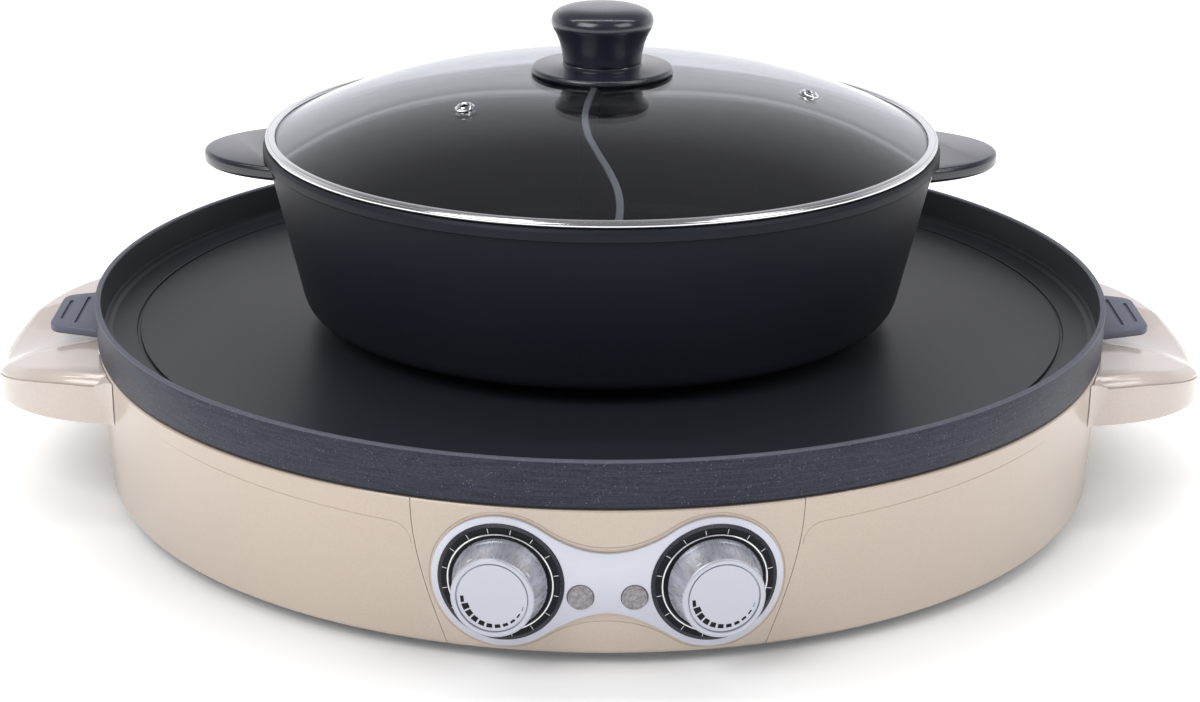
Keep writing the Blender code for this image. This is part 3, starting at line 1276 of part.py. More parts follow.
def make_pot_handle(side, mount, pot_axis):
    """A half-oval plate, slotted at its root for the pot's lug."""
    top = POT_BAND_BOTTOM - POT_HANDLE_TOP_DROP
    bottom = top - POT_HANDLE_THICKNESS
    centre = POT_MOUTH_RADIUS + POT_HANDLE_REACH - POT_HANDLE_PLAN_DEPTH
    outline = []
    for i in range(POT_HANDLE_POINTS):
        angle = math.pi * (i / (POT_HANDLE_POINTS - 1) - 1 / 2)
        outline.append((centre + POT_HANDLE_PLAN_DEPTH * math.cos(angle),
                        POT_HANDLE_HALF_WIDTH * math.sin(angle)))
    handle = slab(f"pot_handle_{side}", [outline], bottom, top, mount, "black_phenolic")
    bevel = handle.modifiers.new("edge", "BEVEL")
    bevel.width = POT_HANDLE_EDGE
    bevel.segments = 1
    core = [
        (0, top + OVERRUN),
        (pot_radius(top + OVERRUN) + SEAT_GAP, top + OVERRUN),
        (pot_radius(bottom - OVERRUN) + SEAT_GAP, bottom - OVERRUN),
        (0, bottom - OVERRUN),
    ]
    cutters = [turned(f"{side}_pot_handle_core", core, pot_axis)]
    half = POT_LUG_HALF_WIDTH + SEAT_GAP
    tip = POT_MOUTH_RADIUS + POT_LUG_REACH + SEAT_GAP
    lug_top = pot_lug_bottom() + POT_LUG_THICKNESS
    low = (pot_lug_root(), -half, pot_lug_bottom() - SEAT_GAP)
    cutters.append(block(f"{side}_pot_handle_pocket", low, (tip, half, lug_top + SEAT_GAP), mount))
    spot = (pot_screw_x(), 0, 0)
    cutters.append(rod(f"{side}_pot_handle_bore", SCREW_SHANK_RADIUS + SEAT_GAP, bottom - OVERRUN,
                       lug_top, mount, location=spot))
    combine(handle, cutters)
    machine_screw(
        f"pot_handle_screw_{side}", SCREW_SHANK_RADIUS, POT_SCREW_LENGTH, SCREW_HEAD_RADIUS,
        SCREW_HEAD_HEIGHT, mount, location=(pot_screw_x(), 0, bottom - SEAT_GAP),
        rotation=(math.pi, 0, 0),
    )


def make_lid(lid_axis):
    make_lid_glass(lid_axis)
    make_lid_rim(lid_axis)
    make_lid_grip(lid_axis)


def make_lid_glass(lid_axis):
    shares = sorted(LID_STATION_SHARES + (LEFT_VENT_SHARE, RIGHT_VENT_SHARE))
    radii = [LID_GLASS_HOLE_RADIUS, GUARD_RADIUS] + [LID_GLASS_RADIUS * share for share in shares]
    outside = [(radius, dome_height(radius)) for radius in radii]
    inside = [(radius, height - LID_GLASS_THICKNESS) for radius, height in reversed(outside)]
    glass = turned("lid_glass", outside + inside, lid_axis, "smoked_glass")
    vents = (("left", LEFT_VENT_SHARE, LEFT_VENT_DEGREES), ("right", RIGHT_VENT_SHARE, RIGHT_VENT_DEGREES))
    holes = []
    for side, share, degrees in vents:
        radius = LID_GLASS_RADIUS * share
        angle = math.radians(degrees)
        spot = (radius * math.cos(angle), radius * math.sin(angle), dome_height(radius))
        tilt = math.atan(dome_slope(radius))
        axis = axis_empty(f"{side}_vent_axis", lid_axis, spot, (0, tilt, angle))
        reach = 2 * LID_GLASS_THICKNESS
        holes.append(rod(f"{side}_vent_hole", VENT_TUBE_RADIUS + SEAT_GAP, -reach, reach, axis))
        make_vent(side, axis)
    combine(glass, holes)


def make_vent(side, axis):
    """A rolled eyelet with a flange on both faces of the glass."""
    top = SEAT_GAP
    bottom = -LID_GLASS_THICKNESS - SEAT_GAP
    profile = [
        (VENT_HOLE_RADIUS, top + VENT_FLANGE_THICKNESS),
        (VENT_FLANGE_RADIUS, top + VENT_FLANGE_THICKNESS),
        (VENT_FLANGE_RADIUS, top),
        (VENT_TUBE_RADIUS, top),
        (VENT_TUBE_RADIUS, bottom),
        (VENT_FLANGE_RADIUS, bottom),
        (VENT_FLANGE_RADIUS, bottom - VENT_FLANGE_THICKNESS),
        (VENT_HOLE_RADIUS, bottom - VENT_FLANGE_THICKNESS),
    ]
    turned(f"steam_vent_{side}", profile, axis, "polished_steel", SMALL_STEPS)


def make_lid_rim(lid_axis):
    """A rolled steel rim that hooks over the glass's edge and hangs inside the pot's lip."""
    outside = POT_LIP_BORE + LID_RIM_OVERHANG
    lap = LID_GLASS_RADIUS - LID_RIM_TOP_LAP
    channel = LID_LEG_RADIUS - LID_RIM_SHEET
    lap_bottom = dome_height(lap) + SEAT_GAP
    top = lap_bottom + LID_RIM_SHEET
    profile = [
        (lap, top),
        (outside - LID_RIM_EDGE_ROUND, top),
        (outside, top - LID_RIM_EDGE_ROUND),
        (outside, POT_LIP_TOP + SEAT_GAP),
        (LID_LEG_RADIUS, POT_LIP_TOP + SEAT_GAP),
        (LID_LEG_RADIUS, LID_RIM_BOTTOM),
        (channel - LID_RIM_SHELF, LID_RIM_BOTTOM),
        (channel - LID_RIM_SHELF, LID_RIM_BOTTOM + LID_RIM_SHEET),
        (channel, LID_RIM_BOTTOM + LID_RIM_SHEET),
        (channel, lap_bottom),
        (lap, lap_bottom),
    ]
    turned("lid_rim", profile, lid_axis, "polished_steel")


def make_lid_grip(lid_axis):
    """Heat guard, knob, and the screw that clamps both through the glass."""
    guard_edge = dome_height(GUARD_RADIUS) + SEAT_GAP
    crown = dome_height(GUARD_BORE) + SEAT_GAP
    seat = guard_edge + GUARD_COLLAR_RISE
    guard = [
        (GUARD_COLLAR_RADIUS, seat),
        (GUARD_COLLAR_RADIUS, guard_edge + GUARD_COLLAR_FOOT_RISE),
        (GUARD_RADIUS - GUARD_EDGE / 2, guard_edge + GUARD_EDGE),
        (GUARD_RADIUS, guard_edge + GUARD_EDGE / 2),
        (GUARD_RADIUS, guard_edge),
        (GUARD_BORE, crown),
        (GUARD_BORE, seat),
    ]
    turned("lid_knob_guard", guard, lid_axis, "black_phenolic", MIDDLE_STEPS)
    bore = LID_SCREW_SHANK_RADIUS + SEAT_GAP
    foot = seat + SEAT_GAP
    bore_top = foot + GRIP_BORE_DEPTH
    grip = [(0, foot + GRIP_HEIGHT)]
    for radius_share, height_share in zip(GRIP_RADIUS_SHARES, GRIP_HEIGHT_SHARES):
        grip.append((GRIP_HEAD_RADIUS * radius_share, foot + GRIP_HEIGHT * height_share))
    grip += [(bore, foot), (bore, bore_top), (0, bore_top)]
    turned("lid_knob", grip, lid_axis, "black_phenolic", MIDDLE_STEPS)
    glass_bottom = dome_height(LID_GLASS_HOLE_RADIUS) - LID_GLASS_THICKNESS
    washer_top = dome_height(WASHER_RADIUS) - LID_GLASS_THICKNESS - SEAT_GAP
    washer_bottom = washer_top - WASHER_THICKNESS
    washer = [
        (WASHER_RADIUS, washer_top),
        (WASHER_RADIUS, washer_bottom),
        (bore, washer_bottom),
        (bore, washer_top),
    ]
    turned("lid_washer", washer, lid_axis, "foot_rubber", SMALL_STEPS)
    head_seat = washer_bottom - SEAT_GAP
    length = bore_top - SEAT_GAP - head_seat
    machine_screw(
        "lid_knob_screw", LID_SCREW_SHANK_RADIUS, length, LID_SCREW_HEAD_RADIUS,
        LID_SCREW_HEAD_HEIGHT, lid_axis, location=(0, 0, head_seat), rotation=(math.pi, 0, 0),
    )


def outline_reach():
    """How far the object reaches from the drum's axis to the front and to the back."""
    pitch = turn_along(CONTROL_PITCH, CONTROL_HEIGHT)
    face = drum_radius(CONTROL_HEIGHT) + KNOB_FACE_HEIGHT
    front = face * math.cos(pitch) + (KNOB_NOSE_RADIUS - KNOB_EDGE_ROUND) * math.sin(pitch)
    back = max(PAN_RIM_RADIUS, inlet_face() + INLET_FLANGE_THICKNESS)
    return front, back


def finish_surface(obj):
    """Settles a piece's modifiers into its mesh and shades its round faces smooth."""
    graph = bpy.context.evaluated_depsgraph_get()
    mesh = bpy.data.meshes.new_from_object(obj.evaluated_get(graph))
    mesh.name = obj.name
    obj.modifiers.clear()
    obj.data = mesh
    mesh.shade_smooth()
    mesh.set_sharp_from_angle(angle=SHARP_ANGLE)


def build():
    front, back = outline_reach()
    base = axis_empty("drum_axis", None, (0, (front - back) / 2, FOOT_GAP))
    pan_axis = axis_empty("pan_axis", base)
    pot_axis = axis_empty("pot_axis", pan_axis)
    lid_axis = axis_empty("lid_axis", pot_axis)
    names = (("hotpot", -1), ("grill", 1))
    lens_height = CONTROL_HEIGHT - LENS_DROP
    knob_turn = math.degrees(turn_along(CONTROL_PITCH, CONTROL_HEIGHT))
    lens_turn = math.degrees(turn_along(LENS_PITCH, lens_height))
    knob_axes = {}
    lens_axes = {}
    for name, sign in names:
        knob_axes[name] = radial_empty(
            f"{name}_knob_axis", base, sign * knob_turn, drum_radius(CONTROL_HEIGHT), CONTROL_HEIGHT
        )
        lens_axes[name] = radial_empty(
            f"{name}_lens_axis", base, sign * lens_turn, drum_radius(lens_height), lens_height
        )
    posts = post_empties(base)
    handle_axes = handle_screw_empties(base)
    make_shell(base, posts, handle_axes)
    make_front_panel(base, knob_axes, lens_axes)
    make_control_plate(base, knob_axes, lens_axes)
    for name, _ in names:
        make_lens(name, lens_axes[name])
        make_knob(name, knob_axes[name], make_thermostat(name, knob_axes[name]))
    make_reflector(base)
    make_pot_heater(base)
    make_grill_heater(base)
    make_cover_and_feet(base, posts)
    make_inlet(base)
    drum_core = make_drum_core(base)
    turns = (("left", math.pi), ("right", 0))
    for i, (side, turn) in enumerate(turns):
        mount = axis_empty(f"{side}_handle_mount", base, rotation=(0, 0, turn))
        make_side_handle(side, mount, drum_core, handle_axes[2 * i:2 * i + 2])
    lug_mounts = {}
    pot_mounts = {}
    for side, turn in turns:
        lug_mounts[side] = axis_empty(f"{side}_lug_mount", pan_axis, rotation=(0, 0, turn))
        pot_mounts[side] = axis_empty(f"{side}_pot_mount", pot_axis, rotation=(0, 0, turn))
    make_pan(pan_axis, lug_mounts)
    make_pot(pot_axis, pot_mounts)
    make_lid(lid_axis)
    bpy.context.view_layer.update()
    for obj in list(PARTS.objects):
        if obj.type == "MESH":
            finish_surface(obj)


build()
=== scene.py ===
"""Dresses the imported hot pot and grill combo: finer pieces, finishes, light and camera."""

import math

import bpy
from mathutils import Euler, Matrix, Vector


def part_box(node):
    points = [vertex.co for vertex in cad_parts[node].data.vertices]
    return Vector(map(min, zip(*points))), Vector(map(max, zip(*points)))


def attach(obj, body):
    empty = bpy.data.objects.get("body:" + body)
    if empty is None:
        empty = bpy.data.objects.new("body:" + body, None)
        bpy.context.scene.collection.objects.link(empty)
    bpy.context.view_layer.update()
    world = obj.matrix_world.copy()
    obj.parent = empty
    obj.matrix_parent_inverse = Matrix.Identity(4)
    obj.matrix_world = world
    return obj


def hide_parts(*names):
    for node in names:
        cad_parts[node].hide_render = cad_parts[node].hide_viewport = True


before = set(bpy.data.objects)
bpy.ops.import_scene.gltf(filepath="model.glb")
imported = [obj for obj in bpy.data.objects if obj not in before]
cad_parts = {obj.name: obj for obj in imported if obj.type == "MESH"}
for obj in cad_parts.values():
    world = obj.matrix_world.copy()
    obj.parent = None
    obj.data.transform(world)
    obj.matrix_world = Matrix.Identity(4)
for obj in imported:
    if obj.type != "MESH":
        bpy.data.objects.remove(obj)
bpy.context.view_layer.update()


# The view: a long lens in front of the object and a little above it, as a catalogue
# photographer sets it up. Its place, its turns and the lens suit the ellipses of the rims.
EYE_SPOT = (-0.01785, -1.09471, 0.4363)
EYE_TURN, EYE_TIP, EYE_ROLL = -0.93, 70.65, 0.446
eye = bpy.data.cameras.new("eye")
eye.lens = 78.42
eye.sensor_width = 36
camera = bpy.data.objects.new("camera", eye)
bpy.context.scene.collection.objects.link(camera)
aim = Matrix.Rotation(math.radians(EYE_TURN), 4, "Z") @ Matrix.Rotation(math.radians(EYE_TIP), 4, "X")
roll = Matrix.Rotation(math.radians(EYE_ROLL), 4, "Z")
camera.matrix_world = Matrix.Translation(EYE_SPOT) @ aim @ roll
bpy.context.scene.camera = camera
bpy.context.scene.view_settings.view_transform = "Standard"


# The table: a white sheet that runs out of view on all sides. It keeps the object's
# soft shadow, and it looks plain white where no shadow falls. Its glow is painted weaker
# near the object's foot, a painted shade that deepens the shadow there.
class Out:
    """One output of a material's nodes. A sum written with it becomes Math nodes."""

    def __init__(self, finish, socket):
        self.finish = finish
        self.socket = socket

    def maths(self, operation, first, second):
        return self.finish.node("Math", {"operation": operation}, {0: first, 1: second})

    def __add__(self, other):
        return self.maths("ADD", self, other)

    def __sub__(self, other):
        return self.maths("SUBTRACT", self, other)

    def __rsub__(self, other):
        return self.maths("SUBTRACT", other, self)

    def __mul__(self, other):
        return self.maths("MULTIPLY", self, other)

    def over(self, other):
        return self.maths("GREATER_THAN", self, other)

    __radd__ = __add__
    __rmul__ = __mul__


class Finish:
    """A node tree with one shader: its plain values, and the method that adds any other node."""

    def __init__(self, owner, shader, plain):
        self.owner = owner
        owner.use_nodes = True
        self.tree = owner.node_tree
        self.shader = self.tree.nodes[shader]
        self.set(plain)

    def set(self, values):
        """Gives the shader's sockets their plain values or their links."""
        for key, value in values.items():
            self.feed(self.shader.inputs[key], value)

    def feed(self, socket, value):
        if isinstance(value, Out):
            self.tree.links.new(value.socket, socket)
        elif socket.type == "RGBA":
            socket.default_value = (*value, 1)
        else:
            socket.default_value = value

    def node(self, kind, settings, values, output=0):
        """Adds a node: its settings first, then the values or links of its sockets."""
        node = self.tree.nodes.new("ShaderNode" + kind)
        for key, value in settings.items():
            if key == "stops":
                for i, (spot, colour) in enumerate(value):
                    stops = node.color_ramp.elements
                    stop = stops[i] if i < 2 else stops.new(spot)
                    stop.position = spot
                    stop.color = (*colour, 1)
            else:
                setattr(node, key, value)
        for key, value in values.items():
            self.feed(node.inputs[key], value)
        return Out(self, node.outputs[output])

    def spots(self, stretch=(1, 1, 1), place=None):
        """Object coordinates, stretched, and counted from a place on the object where one is given."""
        spots = self.node("TexCoord", {}, {}, "Object")
        if place is not None:
            centred = {"Vector": spots, "Location": place.translation, "Rotation": place.to_euler()}
            spots = self.node("Mapping", {"vector_type": "TEXTURE"}, centred)
        return self.node("Mapping", {"vector_type": "POINT"}, {"Vector": spots, "Scale": stretch})

    def noise(self, spots, scale, detail=2, rough=0.5):
        values = {"Vector": spots, "Scale": scale, "Detail": detail, "Roughness": rough}
        return self.node("TexNoise", {}, values)

    def flakes(self, scale):
        """Small cells, each with a grey of its own."""
        cells = self.node("TexVoronoi", {}, {"Vector": self.spots(), "Scale": scale}, "Color")
        return self.node("SeparateColor", {}, {0: cells}, 0)

    def rise(self, place):
        """The height above a place on the object, along its own Z."""
        return self.node("SeparateXYZ", {}, {"Vector": self.spots(place=place)}, "Z")

    def blend(self, share, first, second):
        """A colour between two, by a share."""
        return self.node("Mix", {"data_type": "RGBA"}, {0: share, 6: first, 7: second}, 2)

    def vary(self, pattern, dark, light, rough, spread):
        """Lets the colour and the roughness follow a pattern."""
        self.set({"Base Color": self.blend(pattern, dark, light), "Roughness": rough + pattern * spread})

    def bump(self, height, distance, strength):
        relief = {"Height": height, "Distance": distance, "Strength": strength}
        self.set({"Normal": self.node("Bump", {}, relief)})


def surface(name, plain):
    """A new material, with the plain values of its shader."""
    return Finish(bpy.data.materials.new(name), "Principled BSDF", plain)


def begin(name, add, **values):
    """Adds a primitive, with nothing else selected, as the start of a piece."""
    bpy.ops.object.select_all(action="DESELECT")
    add(**values)
    piece = bpy.context.object
    piece.name = piece.data.name = name
    return piece


PAINTED_SHADE_CENTRE = Matrix.Translation((0, -0.06, 0))
table = begin("table", bpy.ops.mesh.primitive_circle_add, vertices=64, radius=7, fill_type="NGON")
paper = surface("white_paper", {
    "Base Color": (0.86, 0.86, 0.86), "Roughness": 0.9, "Specular IOR Level": 0.0,
    "Emission Strength": 1.0,
})
sight = paper.node("LightPath", {}, {}, "Is Camera Ray")
mirror = paper.node("LightPath", {}, {}, "Is Glossy Ray")
through = paper.node("LightPath", {}, {}, "Is Transmission Ray")
# Painted shade: the glow fades towards a spot just in front of the object's centre, so the floor darkens
# round its foot.
away = paper.node("VectorMath", {"operation": "LENGTH"}, {0: paper.spots(place=PAINTED_SHADE_CENTRE)}, 1)
glow_outside_painted_shade = paper.node("MapRange", {"interpolation_type": "SMOOTHSTEP"}, {
    "Value": away, "From Min": 0.17, "From Max": 0.34, "To Min": 0.04, "To Max": 0.60,
})
glow = (sight + mirror + through) * glow_outside_painted_shade
paper.set({"Emission Color": paper.node("CombineColor", {}, {0: glow, 1: glow, 2: glow})})
table.data.materials.append(paper.owner)


# The light: an even room, two large soft lamps above the front corners and a long strip
# lamp overhead. Behind the object hangs a white sweep, so gloss shows white only there.
world = bpy.data.worlds.new("room")
bpy.context.scene.world = world
room = Finish(world, "Background", {"Strength": 1.0})
ways = room.node("TexCoord", {}, {}, "Generated")
back = room.node("SeparateXYZ", {}, {"Vector": ways}, "Y")
height = room.node("SeparateXYZ", {}, {"Vector": ways}, "Z")
seen = room.node("LightPath", {}, {}, "Is Camera Ray")
glossy = room.node("LightPath", {}, {}, "Is Glossy Ray")
sweep = room.node("ValToRGB", {"stops": [
    (spot, (grey, grey, grey)) for spot, grey in (
        (0.28, 0.80), (0.325, 0.60), (0.334, 1), (0.347, 1), (0.358, 0.50), (0.46, 0.28), (0.68, 0.04),
    )
]}, {0: height})
behind = room.node("MapRange", {"interpolation_type": "SMOOTHSTEP"}, {
    "Value": back, "From Min": -0.1, "From Max": 0.5, "To Min": 0.0, "To Max": 1.0,
})
shown = 0.20 + sweep * behind
bright = seen + (1 - seen) * (glossy * shown + (1 - glossy) * 0.52)
cool = bright * (1.0 + glossy * 0.06)
room.set({"Color": room.node("CombineColor", {}, {0: bright, 1: bright, 2: cool})})

for name, spot, size, power in (
    ("key_lamp", (-0.95, -1.05, 1.35), (1.1, 1.1), 17),
    ("fill_lamp", (1.15, -0.85, 1.15), (0.9, 0.9), 8),
    ("strip_lamp", (0, 0.2, 1.4), (2.4, 0.12), 7),
):
    lamp = bpy.data.lights.new(name, "AREA")
    lamp.shape = "RECTANGLE"
    lamp.size = size[0]
    lamp.size_y = size[1]
    lamp.energy = power
    holder = bpy.data.objects.new(name, lamp)
    bpy.context.scene.collection.objects.link(holder)
    holder.location = spot
    holder.rotation_euler = (Vector((0, 0, 0.08)) - Vector(spot)).to_track_quat("-Z", "Y").to_euler()


# The drum of the base: a steel shell, pressed in one piece with the stepped ledge that
# the pan lies on, and sprayed champagne. It is open in front for the panel and behind
# for the inlet.
shell_low, shell_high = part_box("base_shell")
AXIS = Matrix.Translation(((shell_low.x + shell_high.x) / 2, (shell_low.y + shell_high.y) / 2, shell_low.z))
DRUM_HEIGHT = 0.0593
DRUM_FOOT = 0.2163
DRUM_RIM = 0.2192
SHEET = 0.0025
LEDGE_RADIUS = 0.2075
LEDGE_WIDTH = 0.0085
LEDGE_DEPTH = 0.0028
SEAT_GAP = 0.0003
INLET_HEIGHT = 0.0300
INLET_OPENING = (0.0346, 0.0300, 0.0246)


def drum_radius(height):
    return DRUM_FOOT + (DRUM_RIM - DRUM_FOOT) * height / DRUM_HEIGHT


def turned(name, profile, steps=256):
    """Draws a ring of points out along a profile of (radius, height), as on a lathe.

    A radius of zero closes an end on the axis; any other profile closes on itself."""
    points = list(profile)
    top = points.pop(0) if points[0][0] == 0 else None
    end = points.pop() if points[-1][0] == 0 else None
    piece = begin(name, bpy.ops.mesh.primitive_circle_add, vertices=steps, radius=points[0][0],
                  fill_type="TRIFAN" if top else "NOTHING")
    if top:
        min(piece.data.vertices, key=lambda v: v.co.length).co.z = top[1] - points[0][1]
    open_up(piece)
    bpy.ops.transform.translate(value=(0, 0, points[0][1]))
    bpy.ops.mesh.select_mode(type="EDGE")
    bpy.ops.mesh.select_all(action="DESELECT")
    bpy.ops.mesh.select_non_manifold()
    for (last_radius, last_height), (radius, height) in zip(points, points[1:]):
        extrude((0, 0, height - last_height))
        share = radius / last_radius
        bpy.ops.transform.resize(value=(share, share, 1), center_override=(0, 0, 0))
    if end:
        extrude((0, 0, end[1] - points[-1][1]))
        bpy.ops.mesh.merge(type="CENTER")
    elif not top:
        bpy.ops.mesh.select_all(action="DESELECT")
        bpy.ops.mesh.select_non_manifold()
        bpy.ops.mesh.bridge_edge_loops()
    face_outwards(piece)
    return piece


def extrude(way):
    bpy.ops.mesh.extrude_region_move(TRANSFORM_OT_translate={"value": way})


def face_outwards(piece):
    """Welds a piece's doubles and turns its faces outwards."""
    open_up(piece)
    bpy.ops.mesh.remove_doubles(threshold=0.000002)
    bpy.ops.mesh.normals_make_consistent(inside=False)
    bpy.ops.object.mode_set(mode="OBJECT")


def take(piece):
    """Makes a piece the only one that the next operator works on."""
    if bpy.context.object and bpy.context.object.mode != "OBJECT":
        bpy.ops.object.mode_set(mode="OBJECT")
    bpy.ops.object.select_all(action="DESELECT")
    piece.select_set(True)
    bpy.context.view_layer.objects.active = piece


def open_up(piece):
    """Opens a piece in edit mode, with all of it selected."""
    take(piece)
    bpy.ops.object.mode_set(mode="EDIT")
    bpy.ops.mesh.select_all(action="SELECT")


def draw_out(piece, way):
    """Draws a flat piece out along a way into a closed shape."""
    open_up(piece)
    extrude(way)
    face_outwards(piece)


def soften(piece, width, segments=2, degrees=30):
    """Rounds the edges that are sharper than an angle."""
    bevel = piece.modifiers.new("soft_edges", "BEVEL")
    bevel.width = width
    bevel.segments = segments
    bevel.limit_method = "ANGLE"
    bevel.angle_limit = math.radians(degrees)
    take(piece)
    bpy.ops.object.modifier_apply(modifier=bevel.name)


def cut(piece, cutters, operation="DIFFERENCE"):
    """Cuts the cutters from a piece, or trims it to them, and clears them away."""
    for cutter in cutters:
        boolean = piece.modifiers.new("cut", "BOOLEAN")
        boolean.operation = operation
        boolean.solver = "EXACT"
        boolean.object = cutter
        take(piece)
        bpy.ops.object.modifier_apply(modifier=boolean.name)
        bpy.data.objects.remove(cutter)


def settle(piece, place=AXIS, degrees=30):
    """Puts a piece in its place, with the place in its mesh, and shades its round faces smooth."""
    take(piece)
    piece.matrix_world = place @ piece.matrix_world
    bpy.ops.object.transform_apply(location=True, rotation=True, scale=True)
    bpy.ops.object.shade_smooth_by_angle(angle=math.radians(degrees))


def fit(piece, body, finish, slot, *nodes):
    """Fixes a piece to its body, and takes away the plain nodes that it stands for."""
    piece.data.materials.clear()
    piece.data.materials.append(finish.owner)
    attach(piece, body)
    if nodes:
        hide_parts(*nodes)


def flat_shape(name, outline, low, high):
    """A ring of points set out on a flat outline, filled and drawn up between two levels."""
    piece = begin(name, bpy.ops.mesh.primitive_circle_add, vertices=len(outline), fill_type="NGON")
    for vertex, (x, y) in zip(piece.data.vertices, outline):
        vertex.co = (x, y, low)
    draw_out(piece, (0, 0, high - low))
    return piece


UPRIGHT = Matrix.Rotation(math.pi / 2, 4, "X")
PANEL_RIM = 0.0732
PANEL_FOOT = 0.0596


def panel_prism(grow):
    """The panel's outline, upright at the rim and drawn in at the foot, run through the front wall."""
    side = []
    for i in range(17):
        share = i / 16
        half = PANEL_FOOT + (PANEL_RIM - PANEL_FOOT) * math.sin(share * math.pi / 2)
        side.append((half + grow, share * DRUM_HEIGHT))
    side = [(side[0][0], -0.002)] + side + [(side[-1][0], DRUM_HEIGHT + 0.002)]
    prism = flat_shape("panel_prism", side + [(-x, z) for x, z in reversed(side)], 0.190, 0.225)
    prism.matrix_world = UPRIGHT
    return prism


def groove(name, line, closed=False):
    """A thin tube along (distance round the drum, height, radius), to be cut from its skin."""
    tube = begin(name, bpy.ops.curve.primitive_bezier_curve_add)
    tube.data.splines.clear()
    tube.data.dimensions = "3D"
    tube.data.bevel_depth = 1.0
    tube.data.bevel_resolution = 1
    tube.data.use_fill_caps = True
    spline = tube.data.splines.new("POLY")
    spline.points.add(len(line) - 1)
    spline.use_cyclic_u = closed
    for point, (across, height, radius) in zip(spline.points, line):
        reach = drum_radius(height)
        angle = across / reach
        point.co = (reach * math.sin(angle), -reach * math.cos(angle), height, 1)
        point.radius = radius
    take(tube)
    bpy.ops.object.convert(target="MESH")
    face_outwards(tube)
    return tube


CREASE_START = Vector((0.0745, 0.0405))
CREASE_CORNER = 0.0085
CREASE_RUN = Vector((0.1220, 0.0035))
CREASE_RADIUS = 0.00021


def crease(side):
    """The pressed line below the rim, from the panel's seam out to where it dies away."""
    line = []
    for i in range(9):
        turn = math.pi / 2 * i / 8
        line.append(CREASE_START + CREASE_CORNER * Vector((1 - math.cos(turn), math.sin(turn))))
    line += [line[-1] + CREASE_RUN * i / 24 for i in range(1, 25)]
    fade = [min(1, 3.2 * (1 - i / len(line)) + 0.12) for i in range(len(line))]
    return [(side * spot.x, spot.y, CREASE_RADIUS * share) for spot, share in zip(line, fade)]


champagne = surface("champagne_paint", {
    "Metallic": 0.2, "Coat Weight": 0.6, "Coat Roughness": 0.10, "Specular IOR Level": 0.4,
})
flake = champagne.flakes(2600)
cloud = champagne.noise(champagne.spots(), 9)
champagne.set({
    "Base Color": champagne.blend(flake * 0.35 + cloud * 0.3, (0.52, 0.430, 0.360), (0.65, 0.555, 0.475)),
    "Roughness": 0.34 + flake * 0.10 + cloud * 0.05,
})
champagne.bump(champagne.noise(champagne.spots(), 900, 2), 0.00004, 0.25)

SKIN = [
    (DRUM_RIM - 0.0005, DRUM_HEIGHT), (DRUM_RIM, DRUM_HEIGHT - 0.0005),
    (drum_radius(0.0022), 0.0022), (DRUM_FOOT - 0.0003, 0.0011),
    (DRUM_FOOT - 0.0010, 0.0003), (DRUM_FOOT - 0.0018, 0), (DRUM_FOOT - SHEET, 0),
]
ledge_level = DRUM_HEIGHT - LEDGE_DEPTH
drum = turned("drum", SKIN + [
    (drum_radius(DRUM_HEIGHT - SHEET) - SHEET, DRUM_HEIGHT - SHEET),
    (LEDGE_RADIUS + SHEET, DRUM_HEIGHT - SHEET), (LEDGE_RADIUS + SHEET, ledge_level - SHEET),
    (LEDGE_RADIUS - LEDGE_WIDTH, ledge_level - SHEET), (LEDGE_RADIUS - LEDGE_WIDTH, ledge_level),
    (LEDGE_RADIUS, ledge_level), (LEDGE_RADIUS, DRUM_HEIGHT),
])
window = turned("window", [
    (DRUM_RIM + 0.002, DRUM_HEIGHT + 0.002), (DRUM_FOOT + 0.002, -0.002),
    (DRUM_FOOT - SHEET - SEAT_GAP, -0.002), (DRUM_RIM - SHEET - SEAT_GAP, DRUM_HEIGHT + 0.002),
])
cut(window, [panel_prism(0.00022)], "INTERSECT")
inlet_opening = begin("inlet_opening", bpy.ops.mesh.primitive_cube_add, size=1,
                      location=(0, DRUM_RIM, INLET_HEIGHT), scale=INLET_OPENING)
cut(drum, [inlet_opening, window, groove("left_crease", crease(-1)), groove("right_crease", crease(1))])
settle(drum)
fit(drum, "base", champagne, "champagne_paint", "base_shell")


# The front panel: a moulded insert, flush with the drum and sprayed with it. A shallow
# pressed line runs round the place where the control plate is glued on.
CONTROL_HEIGHT = 0.0295
CONTROL_DEGREES = 10.46
LENS_HEIGHT = 0.0247
LENS_DEGREES = 2.63
SHAFT_HOLE = 0.0053
STEM_HOLE = 0.0038
SIGNS = {"hotpot": -1, "grill": 1}
REACH = drum_radius(CONTROL_HEIGHT)
PITCH = math.radians(CONTROL_DEGREES) * REACH


def plate_outline(lobe, waist_top, waist_foot, points=14):
    """Two round lobes joined by a sagging waist, counted along the drum's skin."""
    tangent = math.radians(55)
    start_x = PITCH - lobe * math.cos(tangent)
    start_y = lobe * math.sin(tangent)
    right = []
    for waist, sign in ((waist_foot, -1), (waist_top, 1)):
        half = []
        for i in range(1, points):
            share = i / points
            ease = 1 - 3 * share**2 + 2 * share**3
            slope = start_x / math.tan(tangent)
            height = waist + (start_y - waist) * ease - slope * share * (1 - share) ** 2
            half.append((start_x * (1 - share), sign * height))
        if sign < 0:
            right += half[::-1]
            for i in range(4 * points + 1):
                turn = -math.pi + tangent + (2 * math.pi - 2 * tangent) * i / (4 * points)
                right.append((PITCH + lobe * math.cos(turn), lobe * math.sin(turn)))
        else:
            right += half
    left = [(-x, y) for x, y in reversed(right)]
    return [(0, -waist_foot)] + right + [(0, waist_top)] + left


panel = turned("panel_insert", SKIN + [(DRUM_RIM - SHEET, DRUM_HEIGHT)])
cut(panel, [panel_prism(0)], "INTERSECT")
line = plate_outline(lobe=0.0278, waist_top=0.0150, waist_foot=0.0152)
cut(panel, [groove("plate_line", [(x, CONTROL_HEIGHT + y, 0.00022) for x, y in line], closed=True)])


